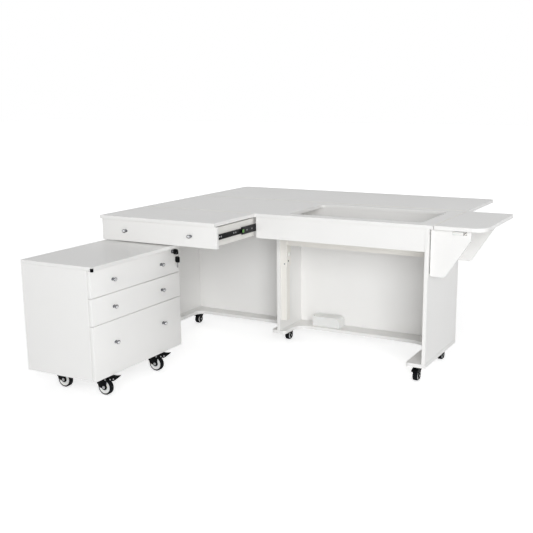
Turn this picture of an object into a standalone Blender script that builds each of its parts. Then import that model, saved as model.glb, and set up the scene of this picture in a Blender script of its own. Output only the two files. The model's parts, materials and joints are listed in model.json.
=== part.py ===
"""Sewing cabinet: a folding work table on casters, with a return, a machine lift and a drawer caddy.

All sizes are in metres. X runs to the right from the left end of the worktop, Y runs to the back from its
front edge, and Z runs up from the floor. At the end everything moves so that the origin lies on the floor
under the middle of the whole set.
"""

import math

import bmesh
import bpy
from mathutils import Euler, Matrix, Vector

# Gaps and edges
GAP = 0.0003
RUN_GAP = 0.0004
EDGE_CHAMFER = 0.001
ARC_STEPS = 5

# Worktop and its leaves
TOP_HEIGHT = 0.762
TOP_THICK = 0.018
TOP_WIDTH = 1.630
TOP_DEPTH = 0.542
RETURN_WIDTH = 0.687
RETURN_DEPTH = 0.378
REAR_LEAF_SHORT = 0.0005
REAR_LEAF_CORNER = 0.025
RIGHT_LEAF_WIDTH = 0.2396
RIGHT_LEAF_FRONT_CORNER = 0.060
RIGHT_LEAF_BACK_CORNER = 0.030
OPENING_LEFT_MARGIN = 0.135
OPENING_RIGHT_MARGIN = 0.078
OPENING_FRONT_MARGIN = 0.072
OPENING_BACK_CLEARANCE = 0.007
OPENING_CORNER = 0.020

# Hinges
HINGE_RADIUS = 0.0012
HINGE_PLATE = 0.0008
HINGE_DEPTH = 0.014
HINGE_LIFT = 0.0004
HINGE_END_MARGIN = 0.020
BRACKET_HINGE_DEPTH = 0.025
BARREL_STEPS = 10

# Carcass
PANEL_THICK = 0.018
BACK_PANEL_THICK = 0.016
LEFT_OVERHANG = 0.004
RIGHT_OVERHANG = 0.020
BACK_OVERHANG = 0.049
RIGHT_PANEL_SETBACK = 0.002
PARTITION_OFFSET = 0.006
PARTITION_SETBACK = 0.221
APRON_SETBACK = 0.004
APRON_THICK = 0.018
APRON_HEIGHT = 0.108
APRON_REVEAL = 0.003

# Base plate
BASE_THICK = 0.0185
LEFT_FOOT_WIDTH = 0.065
MIDDLE_FOOT_LEFT = 0.034
MIDDLE_FOOT_RIGHT = 0.031
MIDDLE_FOOT_LEAD = 0.001
RIGHT_FOOT_WIDTH = 0.098
LEFT_STRETCHER_DEPTH = 0.095
RIGHT_STRETCHER_DEPTH = 0.117
FOOT_CORNER = 0.016
LEFT_FILLET = 0.045
MIDDLE_FILLET = 0.075
RIGHT_FILLET = 0.100

# Return drawer and its slides
RETURN_OVERHANG = 0.016
DRAWER_FRONT_THICK = 0.018
DRAWER_FRONT_HEIGHT = 0.106
DRAWER_FRONT_GAP = 0.002
DRAWER_FRONT_INSET = 0.001
DRAWER_BOX_HEIGHT = 0.091
DRAWER_BACK_CLEARANCE = 0.106
DRAWER_BOX_LIFT = 0.011
DRAWER_WALL = 0.012
DRAWER_BOTTOM = 0.006
SLIDE_SPACE = 0.0135
SLIDE_HEIGHT = 0.045
SLIDE_WEB = 0.002
SLIDE_REACH = 0.008
OUTER_FLANGE = 0.0035
MIDDLE_FLANGE = 0.0056
SLIDE_BACK_CLEARANCE = 0.009
SLIDE_FRONT_SETBACK = 0.002
SLIDE_CENTRE_LIFT = 0.0435
MIDDLE_SHARE = 0.41

# Machine lift
RAIL_WIDTH = 0.033
RAIL_DEPTH = 0.038
RAIL_SETBACK = 0.016
RAIL_FOOT_CLEARANCE = 0.056
RAIL_HEAD_CLEARANCE = 0.009
CARRIAGE_PLATE = 0.006
CARRIAGE_LENGTH = 0.183
BEAM_HEIGHT = 0.067
BEAM_DEPTH = 0.040
PLATFORM_THICK = 0.018
PLATFORM_DROP = 0.112
PLATFORM_CLEARANCE = 0.006
CONTROL_BOX_WIDTH = 0.160
CONTROL_BOX_HEIGHT = 0.055
CONTROL_BOX_DEPTH = 0.076
CONTROL_BOX_OFFSET = 0.113
CONTROL_BOX_BACK_GAP = 0.007
CONTROL_BOX_CORNER = 0.022

# Swing brackets under the right leaf
BRACKET_THICK = 0.018
BRACKET_REACH = 0.188
BRACKET_HEIGHT = 0.220
BRACKET_TIP = 0.039
BRACKET_FOOT = 0.0705
BRACKET_DROP = 0.0045
BRACKET_CORNER = 0.010
BRACKET_FOOT_CORNER = 0.022
NOTCH_START = 0.102
NOTCH_WIDTH = 0.067
NOTCH_DEPTH = 0.0175
FRONT_BRACKET_SETBACK = 0.043
REAR_BRACKET_MARGIN = 0.043

# Knobs
KNOB_END = 0.150
KNOB_WIDTH = 0.025
KNOB_TALL = 0.017
KNOB_HEAD = 0.011
KNOB_STEM_RADIUS = 0.005
KNOB_STEM = 0.012
KNOB_ROOT = 0.002

# Caddy
CADDY_WIDTH = 0.664
CADDY_DEPTH = 0.404
CADDY_INSET = 0.005
CADDY_UNDER_RETURN = 0.100
CADDY_CLEARANCE = 0.005
CADDY_BOARD = 0.016
CADDY_TOP_THICK = 0.016
CADDY_TOP_OVERHANG = 0.013
CADDY_FRONT_THICK = 0.018
CADDY_FRONT_GAP = 0.002
SHALLOW_FRONT_HEIGHT = 0.1235
FRONT_REVEAL = 0.0025
CADDY_BOX_HEIGHT = 0.100
DEEP_BOX_DROP = 0.0302
CADDY_BOX_LIFT = 0.008
CADDY_BOX_SIDE_GAP = 0.0008
CADDY_BOX_BACK_GAP = 0.007
RUNNER_WIDTH = 0.014
RUNNER_HEIGHT = 0.012
RUNNER_SETBACK = 0.005
DEEP_KNOB_DROP = 0.1025
LOCK_END = 0.054
LOCK_DROP = 0.016
LOCK_PLUG_RADIUS = 0.008
LOCK_PLUG_LENGTH = 0.003
KEY_SHAFT_RADIUS = 0.0022
KEY_SHAFT_LENGTH = 0.004
KEY_HEAD_RADIUS = 0.0145
KEY_HEAD_THICK = 0.006
KEY_HEAD_SINK = 0.001

# Casters
WHEEL_SIDES = 24
TYRE_SHOULDER = 0.92
TYRE_CROWN = 0.6
AXLE_RADIUS = 0.004
AXLE_SIDES = 10
CHEEK_THICK = 0.003
CHEEK_GAP = 0.0006
CHEEK_BOSS = 0.008
HOOD_THICK = 0.004
HOOD_BACK_SHARE = 0.8
HOOD_LIP = 0.017
HEAD_THICK = 0.005
DESK_CASTER_HEIGHT = 0.0725
DESK_WHEEL_DIAMETER = 0.050
DESK_WHEEL_WIDTH = 0.025
DESK_CASTER_TRAIL = 0.018
DESK_HEAD_RADIUS = 0.0235
DESK_HOOD_CLEARANCE = 0.005
CADDY_CASTER_HEIGHT = 0.108
CADDY_WHEEL_DIAMETER = 0.075
CADDY_WHEEL_WIDTH = 0.025
CADDY_CASTER_TRAIL = 0.020
CADDY_HEAD_RADIUS = 0.0325
PEDAL_REACH = 0.105
PEDAL_WIDTH = 0.024
PEDAL_THICK = 0.006
PEDAL_DROP = 0.012
CADDY_CASTER_INSET = 0.080
CADDY_CASTER_END = 0.136
RIGHT_CASTER_INSET = 0.050
RIGHT_FRONT_CASTER = 0.046
RIGHT_BACK_CASTER = 0.068
MIDDLE_CASTER_OFFSET = 0.010
MIDDLE_CASTER_BACK = 0.098
LEFT_CASTER_INSET = 0.029
LEFT_FRONT_CASTER = 0.044
LEFT_BACK_CASTER = 0.036

# Heights worked out from the sizes above
TOP_UNDER = TOP_HEIGHT - TOP_THICK
PANEL_TOP = TOP_UNDER - GAP
BASE_LOW = DESK_CASTER_HEIGHT
BASE_TOP = BASE_LOW + BASE_THICK
PANEL_LOW = BASE_TOP + GAP
APRON_LOW = TOP_UNDER - APRON_HEIGHT
DRAWER_FRONT_LOW = TOP_UNDER - DRAWER_FRONT_GAP - DRAWER_FRONT_HEIGHT
DRAWER_BOX_LOW = DRAWER_FRONT_LOW + DRAWER_BOX_LIFT
SLIDE_CENTRE = DRAWER_BOX_LOW + SLIDE_CENTRE_LIFT
PLATFORM_LOW = TOP_HEIGHT - PLATFORM_DROP - PLATFORM_THICK
CADDY_HEIGHT = DRAWER_FRONT_LOW - CADDY_CLEARANCE
CADDY_TOP_UNDER = CADDY_HEIGHT - CADDY_TOP_THICK
CADDY_LOW = CADDY_CASTER_HEIGHT

# Places along X
SEAM_HALF = HINGE_RADIUS + GAP
RIGHT_EDGE = TOP_WIDTH + 2 * SEAM_HALF + RIGHT_LEAF_WIDTH
LEFT_PANEL_OUT = LEFT_OVERHANG
LEFT_PANEL_IN = LEFT_PANEL_OUT + PANEL_THICK
PARTITION_LEFT = RETURN_WIDTH + PARTITION_OFFSET
PARTITION_RIGHT = PARTITION_LEFT + PANEL_THICK
RIGHT_PANEL_OUT = TOP_WIDTH - RIGHT_OVERHANG
RIGHT_PANEL_IN = RIGHT_PANEL_OUT - PANEL_THICK
OPENING_RIGHT = TOP_WIDTH - OPENING_RIGHT_MARGIN
OPENING_LEFT = PARTITION_RIGHT + OPENING_LEFT_MARGIN
CADDY_FRONT = CADDY_INSET + CADDY_DEPTH
CADDY_FRONT_BACK = CADDY_FRONT - CADDY_FRONT_THICK
CADDY_CARCASS_FRONT = CADDY_FRONT_BACK - CADDY_FRONT_GAP

# Places along Y
RETURN_EDGE = -(2 * SEAM_HALF + RETURN_DEPTH)
REAR_LEAF_DEPTH = TOP_DEPTH - REAR_LEAF_SHORT
REAR_EDGE = TOP_DEPTH + 2 * SEAM_HALF + REAR_LEAF_DEPTH
CARCASS_BACK = TOP_DEPTH - BACK_OVERHANG
BACK_PANEL_FRONT = CARCASS_BACK - BACK_PANEL_THICK
OPENING_BACK = BACK_PANEL_FRONT - OPENING_BACK_CLEARANCE
CLOSED_FRONT_BACK = APRON_SETBACK + DRAWER_FRONT_THICK
LEFT_PANEL_FRONT = CLOSED_FRONT_BACK + SLIDE_FRONT_SETBACK
SLIDE_LENGTH = BACK_PANEL_FRONT - SLIDE_BACK_CLEARANCE - LEFT_PANEL_FRONT
DRAWER_BOX_DEPTH = BACK_PANEL_FRONT - DRAWER_BACK_CLEARANCE - CLOSED_FRONT_BACK - GAP
DRAWER_FACE = RETURN_EDGE + RETURN_OVERHANG
DRAWER_TRAVEL = APRON_SETBACK - DRAWER_FACE
DRAWER_BACK_OF_FRONT = DRAWER_FACE + DRAWER_FRONT_THICK
RAIL_FRONT = PARTITION_SETBACK + RAIL_SETBACK
CADDY_FAR = RETURN_EDGE + CADDY_UNDER_RETURN
CADDY_NEAR = CADDY_FAR - CADDY_WIDTH

# How an outline drawn in a flat plane is turned to face along each axis
FLAT = Euler((0, 0, 0))
ALONG_Y = Euler((math.pi / 2, 0, 0))
ALONG_X = Euler((math.pi / 2, 0, math.pi / 2))

for old in list(bpy.data.objects):
    bpy.data.objects.remove(old, do_unlink=True)


def make_collection(name):
    collection = bpy.data.collections.new(name)
    bpy.context.scene.collection.children.link(collection)
    return collection


def make_material(name, colour, roughness, metallic=0.0):
    material = bpy.data.materials.new(name)
    material.use_nodes = True
    shader = material.node_tree.nodes["Principled BSDF"]
    shader.inputs["Base Color"].default_value = (*colour, 1.0)
    shader.inputs["Roughness"].default_value = roughness
    shader.inputs["Metallic"].default_value = metallic
    return material


PARTS = make_collection("sewing_cabinet")
TOOLS = make_collection("cutters")

WHITE_BOARD = make_material("white_laminate", (0.86, 0.86, 0.85), 0.45)
BOX_BOARD = make_material("drawer_board", (0.80, 0.80, 0.79), 0.55)
WHITE_ENAMEL = make_material("white_enamel", (0.85, 0.85, 0.84), 0.35)
BLACK_STEEL = make_material("black_steel", (0.03, 0.03, 0.03), 0.40, 0.6)
CHROME = make_material("chrome", (0.75, 0.75, 0.76), 0.12, 1.0)
BLACK_PLASTIC = make_material("black_plastic", (0.02, 0.02, 0.02), 0.45)
RUBBER = make_material("tyre", (0.04, 0.04, 0.04), 0.60)


def carrier(name, at, parent=None):
    """An empty that carries the pieces of one body, on that body's joint axis."""
    empty = bpy.data.objects.new(name, None)
    PARTS.objects.link(empty)
    empty["at"] = list(at)
    empty.parent = parent
    base = Vector(parent["at"]) if parent else Vector((0, 0, 0))
    empty.location = Vector(at) - base
    return empty


def place(name, mesh, at, carried_by, material=None, turn=FLAT):
    """One named piece at its place in the cabinet; without a material it is a hidden tool."""
    obj = bpy.data.objects.new(name, mesh)
    obj.parent = carried_by
    obj.location = Vector(at) - Vector(carried_by["at"])
    obj.rotation_euler = turn
    if material is None:
        TOOLS.objects.link(obj)
        obj.hide_render = True
        obj.display_type = "WIRE"
        return obj
    PARTS.objects.link(obj)
    obj.data.materials.clear()
    obj.data.materials.append(material)
    return obj


def mesh_of(name, shape):
    """A mesh from a bmesh that is then no longer needed."""
    mesh = bpy.data.meshes.new(name)
    shape.to_mesh(mesh)
    shape.free()
    return mesh


def shade_round(mesh):
    mesh.shade_smooth()
    mesh.set_sharp_from_angle(angle=math.radians(35))


def box_mesh(name, low, high):
    """A box about its own centre, and the centre's place."""
    low, high = Vector(low), Vector(high)
    shape = bmesh.new()
    bmesh.ops.create_cube(shape, size=1.0, matrix=Matrix.Diagonal((*(high - low), 1.0)))
    return mesh_of(name, shape), (low + high) / 2


def box(name, low, high, carried_by, material=None):
    mesh, centre = box_mesh(name, low, high)
    return place(name, mesh, centre, carried_by, material)


def board(name, low, high, carried_by, material=None):
    """A box with its edges broken by a small chamfer."""
    return chamfered(box(name, low, high, carried_by, material or WHITE_BOARD))


def chamfered(obj):
    bevel = obj.modifiers.new("chamfer", "BEVEL")
    bevel.width = EDGE_CHAMFER
    bevel.segments = 1
    bevel.limit_method = "ANGLE"
    bevel.angle_limit = math.radians(50)
    return obj


def cylinder_mesh(name, radius, depth, sides):
    shape = bmesh.new()
    bmesh.ops.create_cone(
        shape, cap_ends=True, segments=sides, radius1=radius, radius2=radius, depth=depth
    )
    mesh = mesh_of(name, shape)
    shade_round(mesh)
    return mesh


def arc(centre, radius, start, end, steps):
    """Points from one angle to another round a centre."""
    angles = [start + (end - start) * step / steps for step in range(steps + 1)]
    return [(centre[0] + radius * math.cos(a), centre[1] + radius * math.sin(a)) for a in angles]


def rounded(corners):
    """An outline through (x, y, radius) corners, with an arc wherever the radius isn't zero."""
    points = []
    for index, (x, y, radius) in enumerate(corners):
        here = Vector((x, y))
        if radius == 0:
            points.append((x, y))
            continue
        before = (Vector(corners[index - 1][:2]) - here).normalized()
        after = (Vector(corners[(index + 1) % len(corners)][:2]) - here).normalized()
        half = before.angle(after) / 2
        centre = here + (before + after).normalized() * (radius / math.sin(half))
        first = here + before * (radius / math.tan(half)) - centre
        last = here + after * (radius / math.tan(half)) - centre
        start = math.atan2(first.y, first.x)
        turn = (math.atan2(last.y, last.x) - start + math.pi) % (2 * math.pi) - math.pi
        points += arc(centre, radius, start, start + turn, ARC_STEPS)
    return points


def outline_mesh(name, outlines, depth):
    """A flat outline, with any inner outlines as holes, given a thickness about its own plane."""
    curve = bpy.data.curves.new(name, "CURVE")
    curve.dimensions = "2D"
    curve.fill_mode = "BOTH"
    curve.extrude = depth / 2
    for outline in outlines:
        spline = curve.splines.new("POLY")
        spline.points.add(len(outline) - 1)
        for point, (x, y) in zip(spline.points, outline, strict=True):
            point.co = (x, y, 0.0, 1.0)
        spline.use_cyclic_u = True
    guide = bpy.data.objects.new(name, curve)
    TOOLS.objects.link(guide)
    graph = bpy.context.evaluated_depsgraph_get()
    mesh = bpy.data.meshes.new_from_object(guide.evaluated_get(graph))
    bpy.data.objects.remove(guide, do_unlink=True)
    shape = bmesh.new()
    shape.from_mesh(mesh)
    bmesh.ops.remove_doubles(shape, verts=shape.verts, dist=1e-6)
    bmesh.ops.recalc_face_normals(shape, faces=shape.faces)
    shape.to_mesh(mesh)
    shape.free()
    mesh.name = name
    return mesh


def combine(target, other, operation):
    boolean = target.modifiers.new(operation.lower(), "BOOLEAN")
    boolean.operation = operation
    boolean.object = other
    return target


def baked(obj, tools):
    """The finished mesh of an object with its modifiers, in its builder's axes, once its tools are gone."""
    bpy.context.view_layer.update()
    graph = bpy.context.evaluated_depsgraph_get()
    mesh = bpy.data.meshes.new_from_object(obj.evaluated_get(graph))
    mesh.transform(obj.matrix_world)
    for spent in (obj, *tools):
        bpy.data.objects.remove(spent, do_unlink=True)
    return mesh


def flat_plate(name, outlines, low, high, carried_by, material=WHITE_BOARD):
    """A horizontal board with the given outline between two heights."""
    mesh = outline_mesh(name, outlines, high - low)
    return place(name, mesh, (0, 0, (low + high) / 2), carried_by, material)


def bar(name, outline, along, low, high, carried_by, material):
    """A straight bar of one section: (y, z) points along X, (x, z) along Y or (x, y) along Z."""
    mesh = outline_mesh(name, [outline], high - low)
    middle = (low + high) / 2
    at = {"X": (middle, 0, 0), "Y": (0, middle, 0), "Z": (0, 0, middle)}[along]
    turn = {"X": ALONG_X, "Y": ALONG_Y, "Z": FLAT}[along]
    return place(name, mesh, at, carried_by, material, turn)


def make_carcass(desk):
    board(
        "left_side_panel",
        (LEFT_PANEL_OUT, LEFT_PANEL_FRONT, PANEL_LOW),
        (LEFT_PANEL_IN, CARCASS_BACK, PANEL_TOP),
        desk,
    )
    board(
        "right_side_panel",
        (RIGHT_PANEL_IN, RIGHT_PANEL_SETBACK, PANEL_LOW),
        (RIGHT_PANEL_OUT, CARCASS_BACK, PANEL_TOP),
        desk,
    )
    board(
        "partition_panel",
        (PARTITION_LEFT, PARTITION_SETBACK, PANEL_LOW),
        (PARTITION_RIGHT, BACK_PANEL_FRONT - GAP, PANEL_TOP),
        desk,
    )
    board(
        "back_panel",
        (LEFT_PANEL_IN + GAP, BACK_PANEL_FRONT, PANEL_LOW),
        (RIGHT_PANEL_IN - GAP, CARCASS_BACK, PANEL_TOP),
        desk,
    )
    board(
        "front_apron",
        (PARTITION_LEFT, APRON_SETBACK, APRON_LOW),
        (RIGHT_PANEL_IN - GAP, APRON_SETBACK + APRON_THICK, PANEL_TOP),
        desk,
    )
    board(
        "slide_carrier",
        (PARTITION_LEFT, APRON_SETBACK + APRON_THICK + GAP, APRON_LOW),
        (PARTITION_RIGHT, PARTITION_SETBACK - GAP, PANEL_TOP),
        desk,
    )


def make_base_plate(desk):
    """One board with three feet, joined along the back."""
    left_inner = LEFT_PANEL_OUT + LEFT_FOOT_WIDTH
    middle_left = PARTITION_LEFT - MIDDLE_FOOT_LEFT
    middle_right = PARTITION_RIGHT + MIDDLE_FOOT_RIGHT
    right_inner = RIGHT_PANEL_OUT - RIGHT_FOOT_WIDTH
    middle_front = PARTITION_SETBACK - MIDDLE_FOOT_LEAD
    left_stretcher = CARCASS_BACK - LEFT_STRETCHER_DEPTH
    right_stretcher = CARCASS_BACK - RIGHT_STRETCHER_DEPTH
    outline = rounded(
        [
            (LEFT_PANEL_OUT, LEFT_PANEL_FRONT, 0),
            (left_inner, LEFT_PANEL_FRONT, FOOT_CORNER),
            (left_inner, left_stretcher, LEFT_FILLET),
            (middle_left, left_stretcher, LEFT_FILLET),
            (middle_left, middle_front, FOOT_CORNER),
            (middle_right, middle_front, FOOT_CORNER),
            (middle_right, right_stretcher, MIDDLE_FILLET),
            (right_inner, right_stretcher, RIGHT_FILLET),
            (right_inner, RIGHT_PANEL_SETBACK, FOOT_CORNER),
            (RIGHT_PANEL_OUT, RIGHT_PANEL_SETBACK, 0),
            (RIGHT_PANEL_OUT, CARCASS_BACK, 0),
            (LEFT_PANEL_OUT, CARCASS_BACK, 0),
        ]
    )
    flat_plate("base_plate", [outline], BASE_LOW, BASE_TOP, desk)


def rectangle(left, front, right, back, radii=(0, 0, 0, 0)):
    """Corners from the front left round to the back left, each with its radius."""
    corners = ((left, front), (right, front), (right, back), (left, back))
    return rounded([(x, y, radius) for (x, y), radius in zip(corners, radii, strict=True)])


def make_worktop(desk):
    opening = rectangle(
        OPENING_LEFT,
        OPENING_FRONT_MARGIN,
        OPENING_RIGHT,
        OPENING_BACK,
        (OPENING_CORNER,) * 4,
    )
    edge = rectangle(0, 0, TOP_WIDTH, TOP_DEPTH)
    chamfered(flat_plate("worktop", [edge, opening], TOP_UNDER, TOP_HEIGHT, desk))


def hinge_section(depth):
    """A barrel with its fixed leaf: the barrel is at (0, 0) and the leaf hangs down on its left side."""
    right_of_leaf = HINGE_PLATE - HINGE_RADIUS
    start = math.atan2(-math.sqrt(HINGE_RADIUS**2 - right_of_leaf**2), right_of_leaf)
    barrel = arc((0, 0), HINGE_RADIUS, start, math.pi, BARREL_STEPS)
    return [(-HINGE_RADIUS, -depth), (right_of_leaf, -depth), *barrel]


def make_rear_leaf(desk):
    seam = TOP_DEPTH + SEAM_HALF
    axis = TOP_HEIGHT + HINGE_LIFT
    leaf = carrier("rear_leaf_fold", (TOP_WIDTH / 2, seam, axis), desk)
    outline = rectangle(
        0, seam + SEAM_HALF, TOP_WIDTH, REAR_EDGE, (0, 0, REAR_LEAF_CORNER, REAR_LEAF_CORNER)
    )
    chamfered(flat_plate("rear_leaf", [outline], TOP_UNDER, TOP_HEIGHT, leaf))
    section = [(y + seam, z + axis) for y, z in hinge_section(HINGE_DEPTH)]
    bar("rear_hinge", section, "X", HINGE_END_MARGIN, TOP_WIDTH - HINGE_END_MARGIN, desk, WHITE_ENAMEL)


def make_right_leaf(desk):
    seam = TOP_WIDTH + SEAM_HALF
    axis = TOP_HEIGHT + HINGE_LIFT
    leaf = carrier("right_leaf_fold", (seam, TOP_DEPTH / 2, axis), desk)
    radii = (0, RIGHT_LEAF_FRONT_CORNER, RIGHT_LEAF_BACK_CORNER, 0)
    outline = rectangle(seam + SEAM_HALF, 0, RIGHT_EDGE, TOP_DEPTH, radii)
    chamfered(flat_plate("right_leaf", [outline], TOP_UNDER, TOP_HEIGHT, leaf))
    section = [(x + seam, z + axis) for x, z in hinge_section(HINGE_DEPTH)]
    bar("right_hinge", section, "Y", HINGE_END_MARGIN, TOP_DEPTH - HINGE_END_MARGIN, desk, WHITE_ENAMEL)


def make_return_leaf(desk):
    seam = -SEAM_HALF
    axis = TOP_HEIGHT + HINGE_LIFT
    leaf = carrier("return_leaf_fold", (RETURN_WIDTH / 2, seam, axis), desk)
    outline = rectangle(0, RETURN_EDGE, RETURN_WIDTH, seam - SEAM_HALF)
    chamfered(flat_plate("return_leaf", [outline], TOP_UNDER, TOP_HEIGHT, leaf))
    section = [(seam - y, z + axis) for y, z in hinge_section(HINGE_DEPTH)]
    end = RETURN_WIDTH - HINGE_END_MARGIN
    bar("return_hinge", section, "X", HINGE_END_MARGIN, end, desk, WHITE_ENAMEL)


def knob_mesh(name, root):
    """An oval knob on a round stem, pointing along its own +Z from a root depth below zero."""
    root_empty = carrier(name + "_build", (0, 0, 0))
    stem = cylinder_mesh(name + "_stem", KNOB_STEM_RADIUS, KNOB_STEM - root, 12)
    post = place(name + "_post", stem, (0, 0, (KNOB_STEM + root) / 2), root_empty)
    ball = bmesh.new()
    size = Matrix.Diagonal((KNOB_WIDTH / 2, KNOB_TALL / 2, KNOB_HEAD / 2, 1.0))
    bmesh.ops.create_uvsphere(ball, u_segments=14, v_segments=7, radius=1.0, matrix=size)
    head = place(name + "_head", mesh_of(name, ball), (0, 0, KNOB_STEM), root_empty)
    mesh = baked(combine(post, head, "UNION"), (head, root_empty))
    shade_round(mesh)
    return mesh


def open_box(name, low, high, wall, bottom, carried_by, material):
    """A box open at the top."""
    outer = box(name, low, high, carried_by, material)
    inner_low = (low[0] + wall, low[1] + wall, low[2] + bottom)
    inner_high = (high[0] - wall, high[1] - wall, high[2] + wall)
    hollow = box(name + "_hollow", inner_low, inner_high, carried_by)
    return combine(outer, hollow, "DIFFERENCE")


def make_return_drawer(desk):
    drawer = carrier("return_drawer", (RETURN_WIDTH / 2, DRAWER_FACE, SLIDE_CENTRE), desk)
    left = DRAWER_FRONT_INSET
    right = PARTITION_LEFT - APRON_REVEAL
    board(
        "return_drawer_front",
        (left, DRAWER_FACE, DRAWER_FRONT_LOW),
        (right, DRAWER_BACK_OF_FRONT, DRAWER_FRONT_LOW + DRAWER_FRONT_HEIGHT),
        drawer,
    )
    box_front = DRAWER_BACK_OF_FRONT + GAP
    open_box(
        "return_drawer_box",
        (LEFT_PANEL_IN + SLIDE_SPACE, box_front, DRAWER_BOX_LOW),
        (PARTITION_LEFT - SLIDE_SPACE, box_front + DRAWER_BOX_DEPTH, DRAWER_BOX_LOW + DRAWER_BOX_HEIGHT),
        DRAWER_WALL,
        DRAWER_BOTTOM,
        drawer,
        BOX_BOARD,
    )
    knob = knob_mesh("return_knob", GAP)
    height = DRAWER_FRONT_LOW + DRAWER_FRONT_HEIGHT / 2
    for side, x in (("left", left + KNOB_END), ("right", right - KNOB_END)):
        place("return_knob_" + side, knob, (x, DRAWER_FACE, height), drawer, CHROME, ALONG_Y)
    for side, face, toward in (("left", LEFT_PANEL_IN, 1), ("right", PARTITION_LEFT, -1)):
        make_slide(side, face, toward, desk, drawer)


def channel(face, toward, start, reach, height, flange):
    """A channel section with its web at a start distance from a panel's face and its flanges to a reach."""
    half = height / 2
    inner = half - flange
    web = start + SLIDE_WEB
    corners = [
        (start, -half),
        (reach, -half),
        (reach, -inner),
        (web, -inner),
        (web, inner),
        (reach, inner),
        (reach, half),
        (start, half),
    ]
    return [(face + toward * x, SLIDE_CENTRE + z) for x, z in corners]


def make_slide(side, face, toward, desk, drawer):
    """Three telescoping members between a panel's face and the side of the drawer box."""
    middle_start = GAP + SLIDE_WEB + RUN_GAP
    middle_height = SLIDE_HEIGHT - 2 * (OUTER_FLANGE + RUN_GAP)
    inner_start = middle_start + SLIDE_WEB + RUN_GAP
    inner_height = middle_height - 2 * (MIDDLE_FLANGE + RUN_GAP)
    inner_end = SLIDE_SPACE - GAP
    middle_reach = (inner_start + inner_end) / 2
    outer_front = LEFT_PANEL_FRONT
    middle_front = outer_front - MIDDLE_SHARE * DRAWER_TRAVEL
    middle = carrier("slide_" + side, (face, middle_front, SLIDE_CENTRE), desk)
    outer = channel(face, toward, GAP, SLIDE_REACH, SLIDE_HEIGHT, OUTER_FLANGE)
    rail = "slide_outer_" + side
    bar(rail, outer, "Y", outer_front, outer_front + SLIDE_LENGTH, desk, BLACK_STEEL)
    section = channel(face, toward, middle_start, middle_reach, middle_height, MIDDLE_FLANGE)
    rail = "slide_middle_" + side
    bar(rail, section, "Y", middle_front, middle_front + SLIDE_LENGTH, middle, BLACK_STEEL)
    inner_front = DRAWER_BACK_OF_FRONT + SLIDE_FRONT_SETBACK
    ends = sorted((face + toward * inner_start, face + toward * inner_end))
    box(
        "slide_inner_" + side,
        (ends[0], inner_front, SLIDE_CENTRE - inner_height / 2),
        (ends[1], inner_front + DRAWER_BOX_DEPTH, SLIDE_CENTRE + inner_height / 2),
        drawer,
        BLACK_STEEL,
    )


def make_lift(desk):
    """A platform on a beam between two carriages, each on an upright rail."""
    lift = carrier("lift", ((PARTITION_RIGHT + RIGHT_PANEL_IN) / 2, RAIL_FRONT, PLATFORM_LOW), desk)
    rail_low = PANEL_LOW + RAIL_FOOT_CLEARANCE
    rail_top = TOP_UNDER - RAIL_HEAD_CLEARANCE
    frame_top = PLATFORM_LOW - GAP
    plate_front = RAIL_FRONT - RUN_GAP - CARRIAGE_PLATE
    plate_back = RAIL_FRONT + RAIL_DEPTH
    sides = []
    for side, face, toward in (("left", PARTITION_RIGHT, 1), ("right", RIGHT_PANEL_IN, -1)):
        rail = sorted((face + toward * GAP, face + toward * (GAP + RAIL_WIDTH)))
        board(
            "lift_rail_" + side,
            (rail[0], RAIL_FRONT, rail_low),
            (rail[1], RAIL_FRONT + RAIL_DEPTH, rail_top),
            desk,
        )
        near = GAP + RAIL_WIDTH + RUN_GAP
        far = near + CARRIAGE_PLATE
        corners = [
            (RUN_GAP, plate_front),
            (far, plate_front),
            (far, plate_back),
            (near, plate_back),
            (near, plate_front + CARRIAGE_PLATE),
            (RUN_GAP, plate_front + CARRIAGE_PLATE),
        ]
        section = [(face + toward * x, y) for x, y in corners]
        low = frame_top - CARRIAGE_LENGTH
        material = WHITE_BOARD if side == "left" else None
        name = "lift_frame" if side == "left" else "lift_frame_right"
        sides.append(bar(name, section, "Z", low, frame_top, lift, material))
    reach = GAP + RAIL_WIDTH + RUN_GAP + CARRIAGE_PLATE / 2
    beam_front = RAIL_FRONT + (RAIL_DEPTH - BEAM_DEPTH) / 2
    beam = box(
        "lift_beam",
        (PARTITION_RIGHT + reach, beam_front, frame_top - BEAM_HEIGHT),
        (RIGHT_PANEL_IN - reach, beam_front + BEAM_DEPTH, frame_top),
        lift,
    )
    frame = combine(sides[0], beam, "UNION")
    combine(frame, sides[1], "UNION")
    board(
        "lift_platform",
        (OPENING_LEFT + PLATFORM_CLEARANCE, OPENING_FRONT_MARGIN + PLATFORM_CLEARANCE, PLATFORM_LOW),
        (
            OPENING_RIGHT - PLATFORM_CLEARANCE,
            OPENING_BACK - PLATFORM_CLEARANCE,
            PLATFORM_LOW + PLATFORM_THICK,
        ),
        lift,
    )


def make_control_box(desk):
    left = PARTITION_RIGHT + CONTROL_BOX_OFFSET
    right = left + CONTROL_BOX_WIDTH
    top = PANEL_LOW + CONTROL_BOX_HEIGHT
    back = BACK_PANEL_FRONT - CONTROL_BOX_BACK_GAP
    outline = rounded(
        [(left, PANEL_LOW, 0), (right, PANEL_LOW, 0), (right, top, CONTROL_BOX_CORNER), (left, top, 0)]
    )
    bar("control_box", outline, "Y", back - CONTROL_BOX_DEPTH, back, desk, WHITE_BOARD)


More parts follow.
